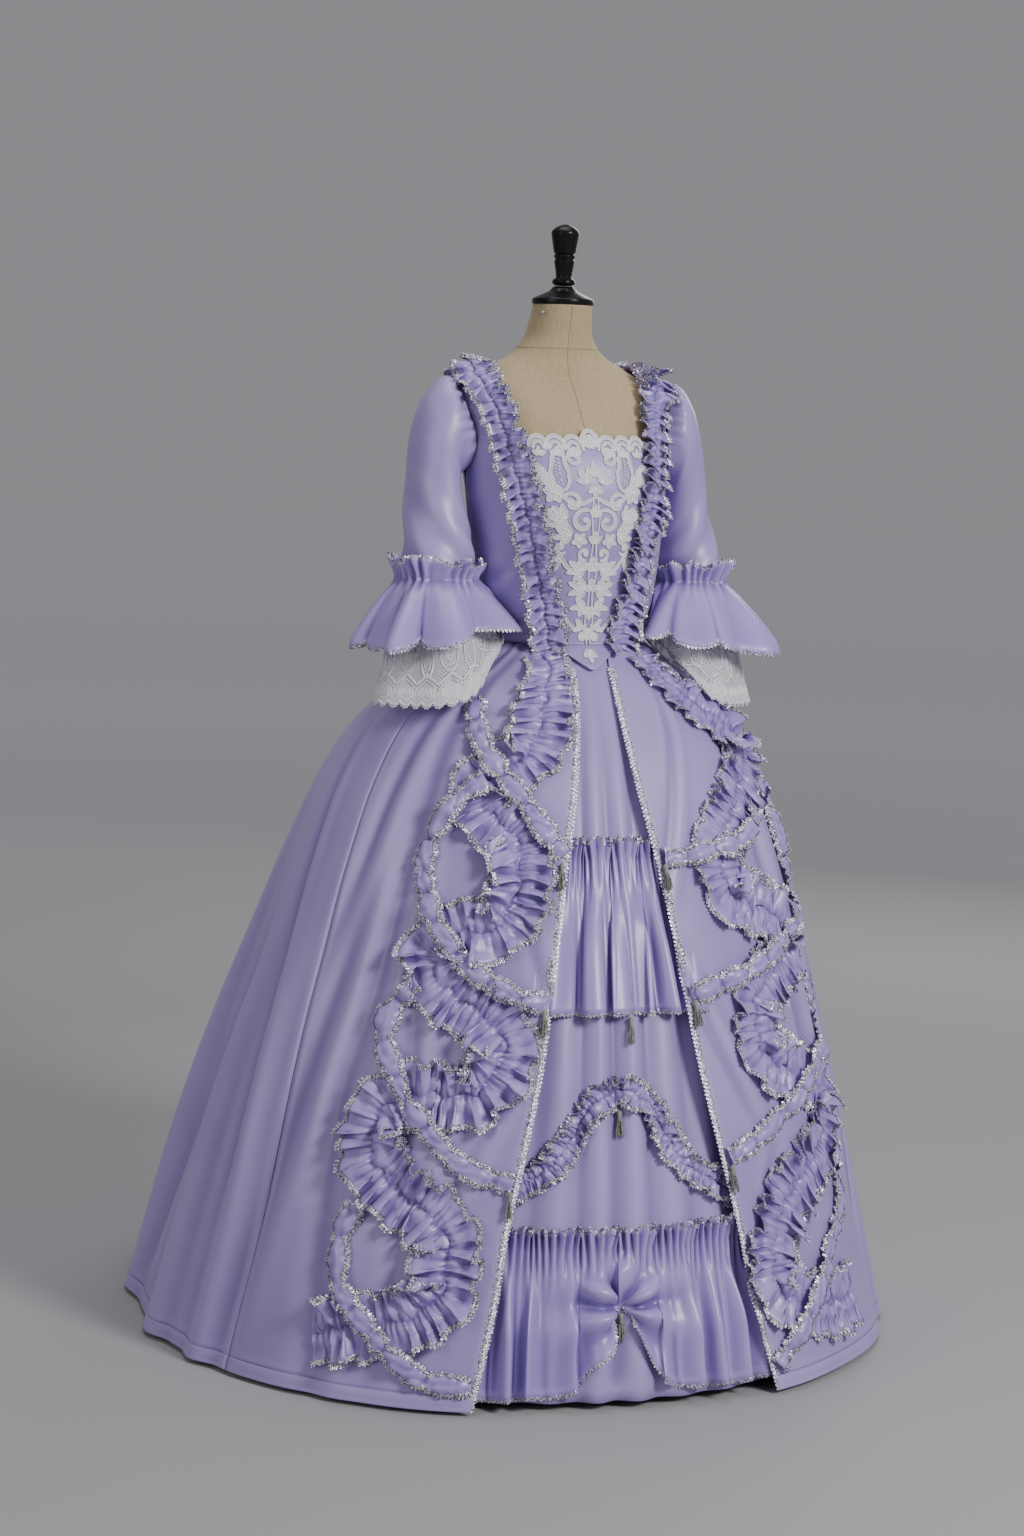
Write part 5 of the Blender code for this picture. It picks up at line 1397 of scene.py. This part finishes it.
def build_cuff_lace(side, sign):
    def place(phase, fall, extra=0.0):
        return frill_at(sign, LACE_DROP, phase, fall, LACE_WAVES, *LACE_FIT, extra)

    phase = np.linspace(0, tau, 300, endpoint=False)
    edge = 0.184 + 0.006 * np.abs(np.cos(CUFF_REPEATS * phase))
    net = np.array([place(phase, edge * share) for share in np.linspace(1.0, 0.004, 24)])
    net = net if sign < 0 else net[:, ::-1]
    piece = cloth(f"cuff_lace_{side}", net, net_white, 0.0, around=True)
    dress(piece, "white_lace", f"cuff_lace_front_{side}", f"cuff_lace_back_{side}")
    cords = Strip()

    def run(angle, fall, radius):
        path = place(angle, fall, 0.0003)
        ahead = place(angle + 0.004, fall) - place(angle - 0.004, fall)
        down = place(angle, fall + 0.0008) - place(angle, fall - 0.0008)
        normal = unit(np.cross(down, ahead))
        outward = unit(place(angle, fall, 0.002) - place(angle, fall))
        normal = normal * np.sign((normal * outward).sum(1, keepdims=True))
        raised(cords, path, normal, radius, CORD_RISE)

    t = np.linspace(0, tau, 24)
    for k in range(CUFF_REPEATS):
        middle = tau * (k + 0.5) / CUFF_REPEATS
        if k % 2:
            for size, radius in ((1.0, 0.0020), (0.70, 0.0010), (0.42, 0.0014)):
                run(middle + 0.165 * size * np.cos(t), MOTIF_FALL + 0.027 * size * np.sin(t), radius)
            for petal in np.linspace(0, tau, 6)[:-1]:
                bud = 0.045 * np.cos(petal), 0.0075 * np.sin(petal)
                across, low = middle + bud[0], MOTIF_FALL + bud[1]
                run(across + 0.022 * np.cos(t), low + 0.0035 * np.sin(t), 0.0011)
        else:
            for size, radius in ((1.0, 0.0020), (0.66, 0.0012), (0.34, 0.0012)):
                wide = 0.145 * size * np.sin(t) * np.abs(np.sin(t / 2)) ** 0.6
                run(middle + wide, MOTIF_FALL - 0.036 * size * np.cos(t), radius)
        for size in (1.0, 0.6):
            run(middle + 0.20 + 0.060 * size * np.cos(t), 0.078 + 0.012 * size * np.sin(t), 0.0012)
    around = np.linspace(0, tau, 500)
    swing = np.abs(((around * CUFF_REPEATS / tau) % 1) - 0.5) * 2
    scallop = np.abs(np.cos(CUFF_REPEATS * around))
    run(around, 0.139 + 0.015 * swing, 0.0019)
    run(around, 0.147 + 0.014 * swing, 0.0010)
    run(around, 0.179 + 0.006 * scallop, 0.0024)
    run(around, 0.171 + 0.006 * scallop, 0.0013)
    for fall in (0.052, 0.060):
        run(around, fall + 0.003 * np.sin(30 * around), 0.0011)
    band = [place(around, low, 0.0004) for low in (0.151 + 0.013 * swing, 0.180 + 0.006 * scallop)]
    hem_band = Strip()
    hem_band.add_grid(np.stack(band, 0))
    run(around, 0.166 + 0.007 * np.sin(72 * around), 0.0010)
    for k in range(2 * CUFF_REPEATS):
        middle = tau * (k + 0.5) / (2 * CUFF_REPEATS)
        for size in (1.0, 0.5):
            run(middle + 0.040 * size * np.cos(t), 0.166 + 0.007 * size * np.sin(t), 0.0011)
    motif = dress(cords.make(f"cuff_lace_{side}_cords", white, True), "white_lace")
    band_piece = dress(hem_band.make(f"cuff_lace_{side}_band", clothwork_painted_shade, True), "white_lace")


def tassel_spots():
    """Each tassel's name, surface, angle, height and gap from the surface."""
    spots = []
    for (side, sign), heights in zip(SIDES, (TASSELS_RIGHT, TASSELS_LEFT)):
        for number, height in enumerate(heights, 1):
            edge = front_edge(height)
            degree = np.linalg.norm(directions(skirt, sign * edge, height)[0])
            angle = sign * (edge + 0.0075 / degree)
            spots.append((f"tassel_{side}_{number}", skirt, angle, height, 0.0020))
    for number, (angle, height) in enumerate(TASSELS_CENTRE, 1):
        spots.append((f"tassel_centre_{number}", petticoat, angle, height, 0.0))
    return spots


def build_tassels():
    draw = np.random.default_rng(5)
    for name, surface, angle, height, lift in tassel_spots():
        turn, rise, normal = directions(surface, angle, height)
        up, across = unit(rise), unit(turn)
        at = surface(angle, height) + normal * (lift + 0.0055) + up * 0.001
        strip = Strip()
        phase = np.linspace(0, tau, 14, endpoint=False)[:, None]
        rings = [at + up * z + radius * (across * np.cos(phase) + normal * np.sin(phase))
                 for radius, z in TASSEL_HEAD]
        strip.add_grid(np.array(rings)[::-1], around=True)
        for k in range(STRANDS):
            spin, root = draw.uniform(0, tau), draw.uniform(0.0008, 0.0034)
            out = across * np.cos(spin) + normal * np.sin(spin)
            length = draw.uniform(0.022, 0.028)
            t = np.linspace(0, 1, 6)[:, None]
            wide = 1 + 1.5 * t - 0.4 * t * t
            path = at + out * root * wide - up * (0.005 + length * t)
            path = path + across * 0.0006 * np.sin(9 * t + k)
            tube = [path + 0.0006 * (across * np.cos(b) + normal * np.sin(b))
                    for b in (0, tau / 3, 2 * tau / 3)]
            strip.add_grid(np.stack(tube, 1), around=True)
        dress(strip.make(name + "_cord", cord, True), "tassel_cord", name)


def build_stage():
    disc = np.linspace(0, tau, FLOOR_SIDES, endpoint=False)
    ring = FLOOR_RADIUS * np.stack([np.cos(disc), np.sin(disc)], 1)
    points = np.hstack([ring, np.full((FLOOR_SIDES, 1), -0.0005)])
    floor = mesh_object("studio_floor", points, [list(range(FLOOR_SIDES))], make_floor_with_painted_light(), None, False)
    world = bpy.data.worlds.new("studio")
    bpy.context.scene.world = world
    world.use_nodes = True
    sky = world.node_tree.nodes["Background"]
    sky.inputs["Color"].default_value = (0.62, 0.63, 0.66, 1.0)
    sky.inputs["Strength"].default_value = 0.42
    for name, place, size, power in LIGHTS:
        light = bpy.data.objects.new(name, bpy.data.lights.new(name, "AREA"))
        light.data.shape = "DISK"
        light.data.size = size
        light.data.energy = power
        light.location = place
        aim = Vector(place) - Vector((0, 0, LIT_HEIGHT))
        light.rotation_euler = aim.to_track_quat("Z", "Y").to_euler()
        bpy.context.scene.collection.objects.link(light)


def build_camera():
    """A camera at the photograph's viewing angle, 5 m away at eye height."""
    camera = bpy.data.objects.new("camera", bpy.data.cameras.new("camera"))
    bpy.context.scene.collection.objects.link(camera)
    bpy.context.scene.camera = camera
    camera.data.sensor_width = 36.0
    camera.data.lens = CAMERA_LENS
    azimuth, roll = CAMERA_AZIMUTH, CAMERA_ROLL
    place = Vector((CAMERA_DISTANCE * np.sin(azimuth), -CAMERA_DISTANCE * np.cos(azimuth), EYE_HEIGHT))
    back = Vector((np.sin(azimuth + CAMERA_YAW), -np.cos(azimuth + CAMERA_YAW), 0.0))
    back = (back * np.cos(CAMERA_PITCH) + Vector((0, 0, np.sin(CAMERA_PITCH)))).normalized()
    right = Vector((0, 0, 1)).cross(back).normalized()
    up = back.cross(right)
    tilted_right = right * np.cos(roll) + up * np.sin(roll)
    tilted_up = up * np.cos(roll) - right * np.sin(roll)
    axes = Matrix((tilted_right, tilted_up, back)).transposed()
    camera.matrix_world = Matrix.Translation(place) @ axes.to_4x4()


build_camera()
build_stage()
build_form()
build_petticoat()
build_upper_flounce()
build_garland()
build_bottom_flounce()
build_overskirt()
build_wide_ruffles()
build_ribbons()
build_front_braids()
build_bodice()
build_stomacher()
build_robings()
build_sleeves()
build_tassels()
